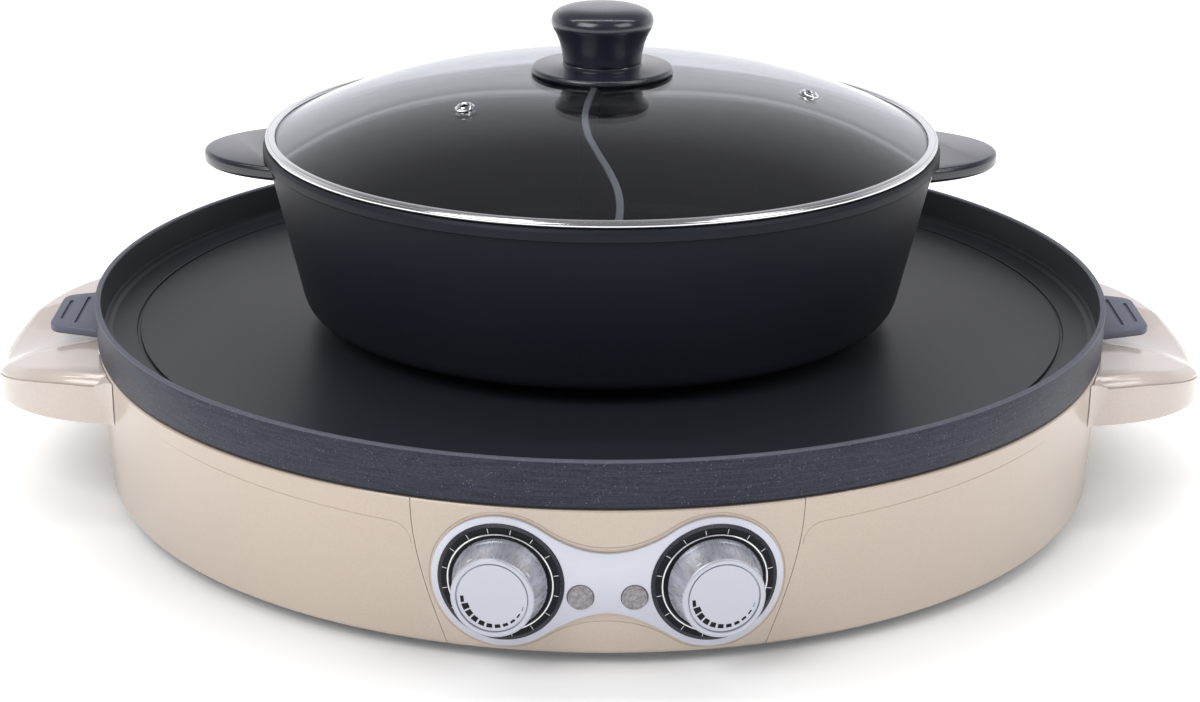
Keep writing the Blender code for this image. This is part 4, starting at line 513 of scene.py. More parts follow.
def place_on_drum(degrees, height):
    """A place on the drum's skin: Z straight out, Y up."""
    turn = math.radians(degrees)
    spot = (drum_radius(height) * math.sin(turn), -drum_radius(height) * math.cos(turn), height)
    return AXIS @ Matrix.LocRotScale(Vector(spot), Euler((math.pi / 2, 0, turn)), None)


KNOB_PLACES = {name: place_on_drum(sign * CONTROL_DEGREES, CONTROL_HEIGHT) for name, sign in SIGNS.items()}
LENS_PLACES = {name: place_on_drum(sign * LENS_DEGREES, LENS_HEIGHT) for name, sign in SIGNS.items()}


def drill(radius, place, steps=48, depth=0.02):
    """A round cutter along a place's own axis, about the drum's own centre."""
    bit = begin("bit", bpy.ops.mesh.primitive_cylinder_add, vertices=steps, radius=radius, depth=depth)
    bit.matrix_world = AXIS.inverted() @ place
    return bit


cut(panel, [drill(SHAFT_HOLE, place) for place in KNOB_PLACES.values()])
cut(panel, [drill(STEM_HOLE, place) for place in LENS_PLACES.values()])
settle(panel)
fit(panel, "base", champagne, "champagne_paint", "front_panel")


# The control plate: a thin satin aluminium badge with a bevelled edge, glued over the
# panel and bent to the drum. The knobs' shafts and the lamps come through it.
def wrap(piece, place=Matrix()):
    """Bends a flat piece round the drum: at its place, X runs across, Y up and Z out."""
    for vertex in piece.data.vertices:
        across, height, out = place @ vertex.co
        turn = across / REACH
        reach = drum_radius(height) + out
        vertex.co = (reach * math.sin(turn), -reach * math.cos(turn), height)


def slice_across(piece, low, high, pieces):
    """Cuts a flat piece into upright strips, so that it bends smoothly."""
    take(piece)
    bpy.ops.object.mode_set(mode="EDIT")
    for i in range(1, pieces):
        bpy.ops.mesh.select_all(action="SELECT")
        spot = low + (high - low) * i / pieces
        bpy.ops.mesh.bisect(plane_co=(spot, 0, 0), plane_no=(1, 0, 0))
    bpy.ops.object.mode_set(mode="OBJECT")


PLATE_FOOT = SEAT_GAP
PLATE_TOP = PLATE_FOOT + 0.0012
LENS_HOLE = 0.00515
outline = plate_outline(lobe=0.0266, waist_top=0.01315, waist_foot=0.01155)
plate = flat_shape("badge_plate", [(x, CONTROL_HEIGHT + y) for x, y in outline], PLATE_FOOT, PLATE_TOP)
soften(plate, 0.00035, 2, 60)
lens_across = math.radians(LENS_DEGREES) * REACH
holes = ((SHAFT_HOLE, PITCH, CONTROL_HEIGHT), (LENS_HOLE, lens_across, LENS_HEIGHT))
for sign in SIGNS.values():
    for radius, across, height in holes:
        cut(plate, [begin("hole", bpy.ops.mesh.primitive_cylinder_add, vertices=64, radius=radius,
                          depth=0.02, location=(sign * across, height, 0))])
slice_across(plate, -0.068, 0.068, 68)
wrap(plate)
settle(plate, degrees=40)

satin = surface("satin_aluminium", {"Metallic": 0.55, "Specular IOR Level": 0.5})
grain = satin.noise(satin.spots((60, 60, 2600)), 1, 3)
satin.vary(grain, (0.575, 0.585, 0.665), (0.65, 0.66, 0.74), 0.36, 0.12)
satin.bump(grain, 0.00002, 0.2)
fit(plate, "base", satin, "satin_aluminium", "control_plate")


# The dials: a black ring round each knob with sixteen light ticks, in a milled grey edge,
# with a bright turned lip, and inside it a black disc that is painted shade for the dark
# hollow under the knob. Each is stamped and pressed in place.
dial_black = surface("dial_black", {"Specular IOR Level": 0.1})
speck = dial_black.noise(dial_black.spots(), 1500)
dial_black.vary(speck, (0.008, 0.008, 0.011), (0.022, 0.023, 0.028), 0.42, 0.1)
tick_white = surface("tick_white", {"Specular IOR Level": 0.3})
speck = tick_white.noise(tick_white.spots(), 900)
tick_white.vary(speck, (0.62, 0.64, 0.68), (0.78, 0.80, 0.84), 0.45, 0.1)
bright_steel = surface("polished_steel", {"Metallic": 1.0})
brush = bright_steel.noise(bright_steel.spots((30, 30, 1800)), 1, 3)
bright_steel.vary(brush, (0.70, 0.70, 0.71), (0.84, 0.84, 0.85), 0.09, 0.09)

milled_grey = surface("milled_grey", {"Metallic": 0.7})
speck = milled_grey.noise(milled_grey.spots(), 1800)
milled_grey.vary(speck, (0.026, 0.028, 0.036), (0.085, 0.090, 0.105), 0.30, 0.15)

DIAL_FOOT = PLATE_TOP + SEAT_GAP
DIAL_TOP = DIAL_FOOT + 0.0006
TICKS = 16
for name, sign in SIGNS.items():
    centre = Matrix.Translation((sign * PITCH, CONTROL_HEIGHT, 0))
    band = turned(f"{name}_dial_band", [
        (0.0224, DIAL_TOP), (0.0224, DIAL_FOOT), (0.0202, DIAL_FOOT), (0.0202, DIAL_TOP),
    ], 192)
    soften(band, 0.00012)
    lip = turned(f"{name}_dial_lip", [
        (0.0200, DIAL_TOP + 0.0002), (0.0201, DIAL_TOP), (0.0201, DIAL_FOOT), (0.0193, DIAL_FOOT),
        (0.0193, DIAL_TOP - 0.0001), (0.0195, DIAL_TOP + 0.0002),
    ], 192)
    # Painted shade: a black disc under the knob's skirt, where the hollow only lies in shade.
    painted_shade_disc = turned(f"{name}_dial_painted_shade_disc", [
        (0.0192, DIAL_FOOT + 0.0002), (0.0192, DIAL_FOOT), (0.0120, DIAL_FOOT),
        (0.0120, DIAL_FOOT + 0.0002),
    ], 96)
    milled = turned(f"{name}_milled_edge", [
        (0.0239, DIAL_FOOT + 0.00012), (0.0239, DIAL_FOOT - 0.0002), (0.02245, DIAL_FOOT - 0.0002),
        (0.02245, DIAL_FOOT + 0.0004),
    ], 320)
    for vertex in milled.data.vertices:
        if vertex.index % 2:
            vertex.co.z -= 0.0002
    ticks = begin(f"{name}_dial_ticks", bpy.ops.mesh.primitive_plane_add, size=1)
    for vertex in ticks.data.vertices:
        vertex.co = (0.0213 + vertex.co.x * 0.0019, vertex.co.y * 0.00025, DIAL_TOP - 0.00005)
    draw_out(ticks, (0, 0, 0.00011))
    open_up(ticks)
    step = -2 * math.pi / TICKS
    bpy.ops.transform.rotate(value=step / 2, orient_axis="Z", center_override=(0, 0, 0))
    for _ in range(TICKS - 1):
        bpy.ops.mesh.duplicate()
        bpy.ops.transform.rotate(value=step, orient_axis="Z", center_override=(0, 0, 0))
    bpy.ops.object.mode_set(mode="OBJECT")
    for part, finish, slot in (
        (band, dial_black, "dial_black"), (lip, bright_steel, "polished_steel"),
        (painted_shade_disc, dial_black, "dial_black"), (milled, milled_grey, "satin_aluminium"),
        (ticks, tick_white, "satin_aluminium"),
    ):
        wrap(part, centre)
        settle(part)
        nodes = [f"{name}_dial_ring"] if part == band else []
        fit(part, "base", finish, slot, *nodes)


# The lamps: smoky lenses over the two indicator lights, moulded in grey resin, each
# with a stem that clips into the panel.
lens_grey = surface("lamp_lens", {
    "Specular IOR Level": 0.5, "Coat Weight": 0.4, "Coat Roughness": 0.08,
})
mottle = lens_grey.noise(lens_grey.spots(), 620, 4, 0.7)
lens_grey.set({
    "Base Color": lens_grey.node("ValToRGB", {"stops": [
        (0.35, (0.16, 0.15, 0.16)), (0.60, (0.33, 0.31, 0.32)), (0.72, (0.52, 0.50, 0.51)),
    ]}, {0: mottle}),
    "Roughness": 0.22 + mottle * 0.25,
})
lens_grey.bump(mottle, 0.0001, 0.3)
for name, place in LENS_PLACES.items():
    lens = turned(f"{name}_lens", [
        (0, 0.00225), (0.0030, 0.0022), (0.0041, 0.0021), (0.0042, 0.0024), (0.00455, 0.0025),
        (0.00485, 0.0021), (0.00485, 0.00036), (0.0035, 0.00036), (0.0035, -0.0051), (0, -0.0051),
    ], 64)
    settle(lens, place)
    fit(lens, "base", lens_grey, "lamp_lens", f"{name}_lamp_lens")


# The control knobs: hollow silver-sprayed mouldings with a brushed skirt, a small lip
# round the nose and a sunk face, which carries a scale of blocks that grow with the heat.
KNOB_FACE = 0.0165
SCALE_RADIUS = 0.0120
SCALE_BLOCKS = 11
for name, place in KNOB_PLACES.items():
    silver = surface(f"silver_plastic_{name}", {"Metallic": 0.65, "Specular IOR Level": 0.5})
    face = silver.rise(place).over(KNOB_FACE - 0.0011)
    streak = silver.noise(silver.spots((640, 640, 7), place), 1, 3, 0.5)
    fine = silver.noise(silver.spots((2600, 2600, 2600), place), 1, 2)
    tone = face * (0.38 + fine * 0.16) + (1 - face) * (streak * 1.1 - 0.10)
    silver.set({
        "Base Color": silver.blend(tone, (0.36, 0.375, 0.43), (0.72, 0.74, 0.82)),
        "Roughness": face * 0.16 + 0.22 + streak * 0.12,
    })
    silver.bump((1 - face) * streak + fine * 0.15, 0.00006, 0.25)
    knob = turned(f"{name}_knob_body", [
        (0, KNOB_FACE - 0.0004), (0.0131, KNOB_FACE - 0.0004), (0.01325, KNOB_FACE - 0.0010),
        (0.01355, KNOB_FACE - 0.0010), (0.0137, KNOB_FACE - 0.0001), (0.0139, KNOB_FACE),
        (0.0150, KNOB_FACE), (0.0154, KNOB_FACE - 0.0002),
        (0.0157, KNOB_FACE - 0.0006), (0.01555, KNOB_FACE - 0.0011), (0.0153, KNOB_FACE - 0.0014),
        (0.01545, KNOB_FACE - 0.0019), (0.0178, 0.0035), (0.0180, 0.0031), (0.0180, 0.0025),
        (0.0166, 0.0025), (0.0141, 0.0144), (0.0052, 0.0144), (0.0052, 0.0041), (0.0033, 0.0041),
        (0.0033, 0.0135), (0, 0.0135),
    ], 144)
    settle(knob, place, 25)
    fit(knob, f"{name}_knob", silver, "silver_plastic", f"{name}_knob")

    for i, turn in enumerate((-55, 35, 125)):
        pip = begin(f"{name}_knob_pip_{i + 1}", bpy.ops.mesh.primitive_plane_add, size=1)
        for vertex in pip.data.vertices:
            vertex.co = (0.0155, vertex.co.x * 0.0021, 0.0131 + vertex.co.y * 0.0008)
        draw_out(pip, (0.00045, 0, 0))
        soften(pip, 0.00012)
        settle(pip, place @ Matrix.Rotation(math.radians(turn), 4, "Z"))
        fit(pip, f"{name}_knob", tick_white, "silver_plastic")

    for i in range(SCALE_BLOCKS):
        share = i / (SCALE_BLOCKS - 1)
        width = 0.0013 if i == 0 else 0.0002 + 0.0026 * (1 - share) ** 0.85
        turn = math.radians(186 + 157 * share)
        block = begin(f"{name}_scale_block_{i + 1}", bpy.ops.mesh.primitive_plane_add, size=1)
        for vertex in block.data.vertices:
            radius = SCALE_RADIUS - width / 2 + vertex.co.x * width
            angle = turn + vertex.co.y * math.radians(13.0 - 4.0 * share)
            vertex.co = (radius * math.cos(angle), radius * math.sin(angle), KNOB_FACE - 0.00042)
        draw_out(block, (0, 0, 0.00007))
        settle(block, place)
        fit(block, f"{name}_knob", dial_black, "dial_black")


# The side handles: hollow grips moulded in a pearly plastic and screwed to the drum from
# inside. Two shoulders run out from the pan's edge, and a lower thumb face dips between.
HANDLE_REACH = 0.0458
HANDLE_DEPTH = 0.075
HANDLE_HALF = 0.076
HANDLE_UNDERSIDE = 0.038
HANDLE_WALL = 0.003
HANDLE_CURVE = 2 / 2.5
SCREW_DEGREES = 9
SCREW_HEIGHT = 0.0465
BOSS_SIZE = Matrix.Diagonal((0.0120, 0.0122, 0.0160 + HANDLE_WALL, 1))
RIBS = 145
SIDES = {"left": AXIS @ Matrix.Rotation(math.pi, 4, "Z"), "right": AXIS}
HANDLE_RIDGE = (
    (0.0056, 0.0), (0.0050, 0.00010), (0.0045, 0.00030), (0.0038, 0.00070), (0.0031, 0.00111),
    (0.0025, 0.00145), (0.0020, 0.00174), (0.0012, 0.0024), (0.0006, 0.0032), (0.0003, 0.0040),
    (0.0008, 0.0042), (0.0008, 0.0045), (0.0001, 0.0047), (0, 0.0060),
)


def handle_shares(x, y):
    """The shoulders' height at a place in the plan, and how far the thumb face dips below."""
    share = max(0, (x - DRUM_RIM) / HANDLE_REACH)
    shoulder = DRUM_HEIGHT - 0.0005 - 0.0120 * share**2
    depth = 0.0012 + 0.0126 * share**1.3 - 0.0120 * share**2
    half = 0.0285 + 0.0095 * share**0.6
    return shoulder, (2.0 - 0.7 * share) * depth * (1 - (y / half) ** 2)


def handle_top(x, y):
    """The shoulder's height, or the thumb face below it, hollowed under the pan's grip."""
    shoulder, dip = handle_shares(x, y)
    along = max(0, 1 - max(0, x - DRUM_RIM) / 0.0200)
    across = max(0, 1 - (y / 0.0290) ** 2) ** 2
    return shoulder - max(0, dip) - 0.0035 * along**2 * across


def handle_rib(turn):
    """A closed line: out over the grip, down round its edge, and back under its ceiling."""
    centre = DRUM_RIM + HANDLE_REACH - HANDLE_DEPTH
    out = Vector((centre + HANDLE_DEPTH * max(0, math.cos(turn)) ** HANDLE_CURVE,
                  HANDLE_HALF * math.copysign(abs(math.sin(turn)) ** HANDLE_CURVE, turn)))
    anchor = Vector((DRUM_RIM - 0.0140, 0.0220 * math.sin(turn)))
    inward = (anchor - out).normalized()
    ridge = out + inward * HANDLE_RIDGE[0][0]
    low, high = 0.0, 1.0
    for _ in range(30):
        bend = (low + high) / 2
        shoulder, dip = handle_shares(*anchor.lerp(ridge, bend))
        low, high = (bend, high) if dip > 0 else (low, bend)
    bend = min(max(bend, 0.15), 0.86)
    shares = [bend * i / 12 for i in range(12)] + [bend - 0.012, bend]
    shares += [bend + (1 - bend) * i / 6 for i in range(1, 6)]
    tops = [anchor.lerp(ridge, share) for share in shares]
    edge = handle_top(*ridge)
    line = [(*spot, handle_top(*spot)) for spot in tops]
    depth = min(1, 0.8 * (edge - HANDLE_UNDERSIDE) / HANDLE_RIDGE[-1][1])
    for inset, drop in HANDLE_RIDGE:
        line.append((*(out + inward * inset), edge - depth * drop))
    foot = edge - depth * HANDLE_RIDGE[-1][1]
    line += [(*out, foot + (HANDLE_UNDERSIDE - foot) * i / 6) for i in range(1, 7)]
    inside = out + inward * HANDLE_WALL
    line += [(*inside, HANDLE_UNDERSIDE), (*inside, (foot + HANDLE_UNDERSIDE) / 2)]
    line.append((*(inside + inward * HANDLE_WALL), edge - 1.5 * HANDLE_WALL))
    return line + [(*spot, handle_top(*spot) - HANDLE_WALL) for spot in reversed(tops[:-2])]


pearl = surface("pearl_plastic", {
    "Metallic": 0.12, "Coat Weight": 0.9, "Coat Roughness": 0.08, "Specular IOR Level": 0.5,
})
flake = pearl.flakes(2400)
cloud = pearl.noise(pearl.spots(), 14)
pearl.set({
    "Base Color": pearl.blend(flake * 0.4 + cloud * 0.3, (0.555, 0.475, 0.420), (0.68, 0.595, 0.540)),
    "Roughness": 0.27 + flake * 0.08 + cloud * 0.05,
})
pearl.bump(pearl.noise(pearl.spots(), 700), 0.00003, 0.2)


def plug(top_radius, top, foot_radius, foot):
    """A solid cone on the axis, to cut a piece free of it or to trim a piece to it."""
    return turned("plug", [(0, top), (top_radius, top), (foot_radius, foot), (0, foot)])


for side, place in SIDES.items():
    ribs = [handle_rib((2 * i / (RIBS - 1) - 1) * math.pi / 2) for i in range(RIBS)]
    count = len(ribs[0])
    grip = begin(f"{side}_grip", bpy.ops.mesh.primitive_grid_add, x_subdivisions=count,
                 y_subdivisions=RIBS - 1, size=1)
    for i, vertex in enumerate(grip.data.vertices):
        vertex.co = ribs[i // (count + 1)][i % (count + 1) % count]
    face_outwards(grip)
    open_up(grip)
    bpy.ops.mesh.fill_holes(sides=0)
    face_outwards(grip)
    bosses = []
    bores = []
    for sign in (-1, 1):
        screw_place = place_on_drum(90 + SCREW_DEGREES * sign, SCREW_HEIGHT)
        boss = begin("boss", bpy.ops.mesh.primitive_cube_add, size=1)
        boss.matrix_world = AXIS.inverted() @ screw_place @ Matrix.Translation((0, 0, 0.0065)) @ BOSS_SIZE
        bosses.append(boss)
        bores.append(drill(0.0018, screw_place, 32, 0.026))
        start, middle, end = Vector((0.2150, 0.0738)), Vector((0.2064, 0.0770)), Vector((0.1975, 0.0900))
        arc = [start.lerp(middle, i / 12).lerp(middle.lerp(end, i / 12), i / 12) for i in range(13)]
        arc += [Vector((0.1900, 0.0800)), Vector((0.2080, 0.0690))]
        cove = flat_shape("cove", [(x, sign * y) for x, y in arc], HANDLE_UNDERSIDE, DRUM_HEIGHT - 0.0008)
        corner = Vector((0.2056, sign * 0.0752))
        for vertex in cove.data.vertices:
            if vertex.co.z < DRUM_HEIGHT - 0.01 and vertex.co.x < 0.2149:
                vertex.co.xy = vertex.co.xy.lerp(corner, 0.8)
            elif vertex.co.z > DRUM_HEIGHT - 0.01:
                vertex.co.z -= 0.0056 * min(1, max(0, vertex.co.xy.length - 0.2200) / 0.0070)
        bosses.append(cove)
    top = DRUM_HEIGHT + 0.004
    core = plug(drum_radius(top) + SEAT_GAP, top, drum_radius(-0.002) + SEAT_GAP, -0.002)
    cut(grip, bosses, "UNION")
    cut(grip, [core] + bores)
    settle(grip, place, 28)
    fit(grip, "base", pearl, "pearl_plastic", f"{side}_side_handle")


# The grill pan: a heavy aluminium casting, speckled and brushed outside, with a smooth
# black coating inside, painted darker there also as painted shade for the dark inside of
# the pan. The top of its rim is painted lighter, a painted highlight. It lies on the
# drum's rim, and a collar keeps fat off the heater.
PAN_FOOT = DRUM_HEIGHT + SEAT_GAP
PAN_FACE = 0.0650
PAN_RIM = 0.0792
PAN_RADIUS = 0.2200
PAN_BORE = 0.2180
coating = surface("cast_pan_coating", {"Metallic": 0.1, "Specular IOR Level": 0.33})
level = coating.node("VectorMath", {"operation": "MULTIPLY"}, {0: coating.spots(place=AXIS), 1: (1, 1, 0)})
across = coating.node("VectorMath", {"operation": "LENGTH"}, {0: level}, 1)
outside = across.over(PAN_BORE + 0.00005)
# Painted highlight: the top of the rim is painted lighter.
painted_rim_highlight = coating.rise(AXIS).over(PAN_RIM - 0.0007)
lines = (coating.noise(coating.spots((60, 60, 1700)), 1, 4, 0.65) - 0.36) * 3
grit = coating.noise(coating.spots(), 1300, 2, 0.7)
speckle = (coating.noise(coating.spots((1, 1, 1.4)), 1100, 2, 0.7) - 0.36) * 3
spark = coating.node("TexVoronoi", {}, {"Vector": coating.spots(), "Scale": 900}, "Distance")
spark = (0.16 - spark).over(0) * coating.noise(coating.spots(), 420).over(0.56)
brushed = coating.blend(lines * 0.5 + speckle * 0.5, (0.006, 0.007, 0.014), (0.044, 0.049, 0.080))
# The inside's colour is a smooth coating and painted shade: darker than the outside for the shade and dark
# reflections in the pan.
smooth = coating.blend(grit, (0.010, 0.011, 0.016), (0.024, 0.026, 0.035))
skin = coating.blend(outside, smooth, brushed)
coating.set({
    "Base Color": coating.blend(spark * outside * 0.6 + painted_rim_highlight * 0.25, skin, (0.30, 0.31, 0.37)),
    "Roughness": 0.30 + outside * 0.08 + grit * 0.16,
})
coating.bump(grit * 0.5 + lines * outside * 0.5, 0.00012, 0.35)

pan = turned("pan", [
    (PAN_RADIUS - 0.0005, PAN_RIM), (PAN_RADIUS - 0.0001, PAN_RIM - 0.0002),
    (PAN_RADIUS, PAN_RIM - 0.0006), (DRUM_RIM + 0.0003, PAN_FOOT + 0.0017),
    (DRUM_RIM + 0.0001, PAN_FOOT + 0.0013), (DRUM_RIM - 0.0015, PAN_FOOT + 0.0012),
    (DRUM_RIM - 0.0015, PAN_FOOT), (0.2069, PAN_FOOT), (0.2069, PAN_FOOT - 0.0014),
    (0.2045, PAN_FOOT - 0.0014), (0.2045, 0.0605), (0.0920, 0.0605), (0.0920, 0.0706),
    (0.0924, 0.0710), (0.0972, 0.0710), (0.0979, 0.0707), (0.0984, 0.0699), (0.1008, 0.0658),
    (0.1014, 0.0652), (0.1021, PAN_FACE), (0.2011, PAN_FACE), (0.2013, PAN_FACE - 0.0003),
    (0.2013, PAN_FACE - 0.0010), (0.2026, PAN_FACE - 0.0010), (0.2026, PAN_FACE - 0.0003),
    (0.2028, PAN_FACE), (0.2129, PAN_FACE), (0.2132, PAN_FACE + 0.0001),
    (0.2146, PAN_FACE + 0.0008), (0.2149, PAN_FACE + 0.0009), (0.2162, PAN_FACE + 0.0010),
    (0.2168, PAN_FACE + 0.0013), (0.2170, PAN_FACE + 0.0018),
    (0.2175, PAN_RIM - 0.0006), (0.2177, PAN_RIM - 0.0002), (PAN_BORE, PAN_RIM),
])
settle(pan)
fit(pan, "grill_pan", coating, "cast_pan_coating", "grill_pan")


# The pan's grips: flat heat-proof plastic tabs with two finger grooves. Each is pushed
# over a lug that is cast with the pan, and held from below by a screw.
slate = surface("dark_plastic", {"Specular IOR Level": 0.45})
grit = slate.noise(slate.spots(), 1600, 2, 0.7)
slate.vary(grit, (0.100, 0.107, 0.150), (0.145, 0.155, 0.208), 0.40, 0.16)
slate.bump(grit, 0.00008, 0.3)


def rounded(corners, radius, points):
    """A closed outline with each of its corners rounded."""
    outline = []
    for i, spot in enumerate(corners):
        corner = Vector(spot)
        back = (Vector(corners[i - 1]) - corner).normalized()
        ahead = (Vector(corners[(i + 1) % len(corners)]) - corner).normalized()
        half = back.angle(ahead) / 2
        centre = corner + (back + ahead).normalized() * radius / math.sin(half)
        first = corner + back * radius / math.tan(half) - centre
        start = math.atan2(first.y, first.x)
        for j in range(points):
            turn = start + (math.pi - 2 * half) * j / (points - 1)
            outline.append((centre.x + radius * math.cos(turn), centre.y + radius * math.sin(turn)))
    return outline


def plan(low, high, half):
    """A rectangle's corners, between two distances from the axis."""
    return [(low, -half), (high, -half), (high, half), (low, half)]


def slot_outline(x, length, width):
    return rounded(plan(x - width / 2, x + width / 2, length / 2), width / 2 * 0.98, 6)


TAB_TOP = PAN_FOOT + 0.0039
TAB_TIP = DRUM_RIM + 0.0213
TAB_ROOT = DRUM_RIM - 0.0213
LUG_HALF = 0.0120
for side, place in SIDES.items():
    corners = [(TAB_ROOT, -0.0355), (TAB_TIP, -0.0205), (TAB_TIP, 0.0205), (TAB_ROOT, 0.0355)]
    tab = flat_shape(f"{side}_tab", rounded(corners, 0.0075, 12), TAB_TOP - 0.0036, TAB_TOP)
    cut(tab, [plug(DRUM_RIM + 0.00055, TAB_TOP + 0.002, DRUM_RIM + 0.0003, PAN_FOOT - 0.003)])
    soften(tab, 0.0008, 3, 50)
    slots = []
    for inset, length in ((0.0045, 0.0260), (0.0115, 0.0360)):
        slots.append(flat_shape("slot", slot_outline(TAB_TIP - inset, length, 0.0017), TAB_TOP - 0.0009,
                                TAB_TOP + 0.002))
    pocket = flat_shape("pocket", plan(TAB_ROOT, DRUM_RIM + 0.0131, LUG_HALF + SEAT_GAP),
                        PAN_FOOT - 0.004, PAN_FOOT + 0.0021)
    cut(tab, slots + [pocket])
    settle(tab, place, 35)
    fit(tab, "grill_pan", slate, "dark_plastic", f"pan_handle_{side}")

    lug = flat_shape(f"{side}_pan_lug", plan(DRUM_RIM - 0.0015, DRUM_RIM + 0.0128, LUG_HALF),
                     PAN_FOOT, PAN_FOOT + 0.0018)
    soften(lug, 0.0004)
    settle(lug, place)
    fit(lug, "grill_pan", coating, "cast_pan_coating")


# The pot: a deep aluminium casting with a satin blue-black enamel. A turned band and a
# raised lip run round its mouth, and an S-shaped wall parts it into two halves.
POT_FOOT = 0.0722
POT_DEPTH = 0.0668
POT_MOUTH = POT_FOOT + POT_DEPTH
POT_LIP = 0.1442
POT_FOOT_RADIUS = 0.1291
POT_MOUTH_RADIUS = 0.1443
DIVIDER_TOP = 0.1340
DIVIDER_WAVE = 0.0065
DIVIDER_HALF = 0.0015
enamel = surface("pot_enamel", {"Specular IOR Level": 0.18})
grit = enamel.noise(enamel.spots(), 1500, 2, 0.7)
cloud = enamel.noise(enamel.spots(), 11, 2)
enamel.set({
    "Base Color": enamel.blend(grit * 0.5 + cloud * 0.4, (0.0085, 0.0090, 0.0150), (0.019, 0.020, 0.031)),
    "Roughness": 0.37 + grit * 0.10 + cloud * 0.06,
})
enamel.bump(grit, 0.00006, 0.25)


def pot_radius(height):
    return POT_FOOT_RADIUS + (POT_MOUTH_RADIUS - POT_FOOT_RADIUS) * (height - POT_FOOT) / POT_DEPTH


pot = turned("pot", [
    (0, 0.0757), (pot_radius(0.0757) - 0.0080, 0.0757), (pot_radius(0.0765) - 0.0052, 0.0767),
    (pot_radius(0.0785) - 0.0036, 0.0785), (pot_radius(0.0807) - 0.0030, 0.0807),
    (pot_radius(0.1400) - 0.0030, 0.1397), (0.1436, 0.1400), (0.1438, 0.1402),
    (0.1438, POT_LIP - 0.0002), (0.1440, POT_LIP), (0.1449, POT_LIP), (0.1453, POT_LIP - 0.0003),
    (0.1459, 0.1427), (0.1460, 0.1422), (0.1460, 0.1395), (0.1457, 0.1391), (0.1452, POT_MOUTH),
    (0.1443, POT_MOUTH), (0.1442, POT_MOUTH - 0.0006), (pot_radius(0.0785), 0.0785),
    (pot_radius(0.0755) - 0.0004, 0.0755), (pot_radius(0.0738) - 0.0012, 0.0738),
    (pot_radius(0.0728) - 0.0024, 0.0727), (pot_radius(0.0722) - 0.0045, POT_FOOT), (0, POT_FOOT),
])
settle(pot)
fit(pot, "pot", enamel, "pot_enamel", "pot_body")

shares = [i / 32 - 1 for i in range(65)]
wave = [(-DIVIDER_WAVE * math.sin(math.pi * share), POT_MOUTH_RADIUS * share) for share in shares]
outline = [(x + DIVIDER_HALF, y) for x, y in wave] + [(x - DIVIDER_HALF, y) for x, y in reversed(wave)]
divider = flat_shape("pot_divider", outline, 0.0740, DIVIDER_TOP)
trim = plug(pot_radius(0.139) - 0.0015, 0.139, pot_radius(0.073) - 0.0015, 0.073)
cut(divider, [trim], "INTERSECT")
soften(divider, 0.0007, 3, 50)
settle(divider)
ground = surface("ground_edge", {"Specular IOR Level": 0.4})
bare = ground.rise(AXIS).over(DIVIDER_TOP - 0.0009)
lines = ground.noise(ground.spots((900, 900, 60)), 1, 3)
ground.set({
    "Base Color": ground.blend(bare, (0.020, 0.021, 0.032),
                               ground.blend(lines, (0.42, 0.42, 0.44), (0.66, 0.66, 0.68))),
    "Roughness": 0.34 + lines * 0.14,
    "Metallic": bare * 0.5,
})
fit(divider, "pot", ground, "pot_enamel")


# The pot's handles: half-oval plates of black phenolic, slotted at the root for the
# pot's cast lugs and screwed to them from below.
phenolic = surface("black_phenolic", {
    "Specular IOR Level": 0.55, "Coat Weight": 0.5, "Coat Roughness": 0.14,
})
cloud = phenolic.noise(phenolic.spots(), 60, 3)
grit = phenolic.noise(phenolic.spots(), 1500)
phenolic.set({
    "Base Color": phenolic.blend(cloud, (0.009, 0.0095, 0.018), (0.016, 0.0175, 0.031)),
    "Roughness": 0.21 + cloud * 0.07 + grit * 0.03,
})
phenolic.bump(grit, 0.00003, 0.15)
PADDLE_REACH = 0.0277
PADDLE_LENGTH = 0.0620
PADDLE_HALF = 0.0410
for side, place in SIDES.items():
    centre = POT_MOUTH_RADIUS + PADDLE_REACH - PADDLE_LENGTH
    outline = []
    for i in range(65):
        angle = math.pi * (i / 64 - 0.5)
        outline.append((centre + PADDLE_LENGTH * math.cos(angle), PADDLE_HALF * math.sin(angle)))
    paddle = flat_shape(f"{side}_paddle", outline, 0.1325, 0.1385)
    soften(paddle, 0.0018, 4, 60)
    cut(paddle, [plug(pot_radius(0.1410) + SEAT_GAP, 0.1410, pot_radius(0.1300) + SEAT_GAP, 0.1300)])
    settle(paddle, place, 35)
    fit(paddle, "pot", phenolic, "black_phenolic", f"pot_handle_{side}")


# The lid's glass: a tempered dome, slightly smoked, with a hole for the knob's screw and
# two for the vents.
GLASS_RADIUS = 0.1421
GLASS_EDGE = 0.1454
GLASS = 0.0040
DOME_RISE = 0.0270
DOME_CURVE = 2.65
VENT_HOLE = 0.0031


def dome(radius):
    return GLASS_EDGE + DOME_RISE * (1 - (radius / GLASS_RADIUS) ** DOME_CURVE)


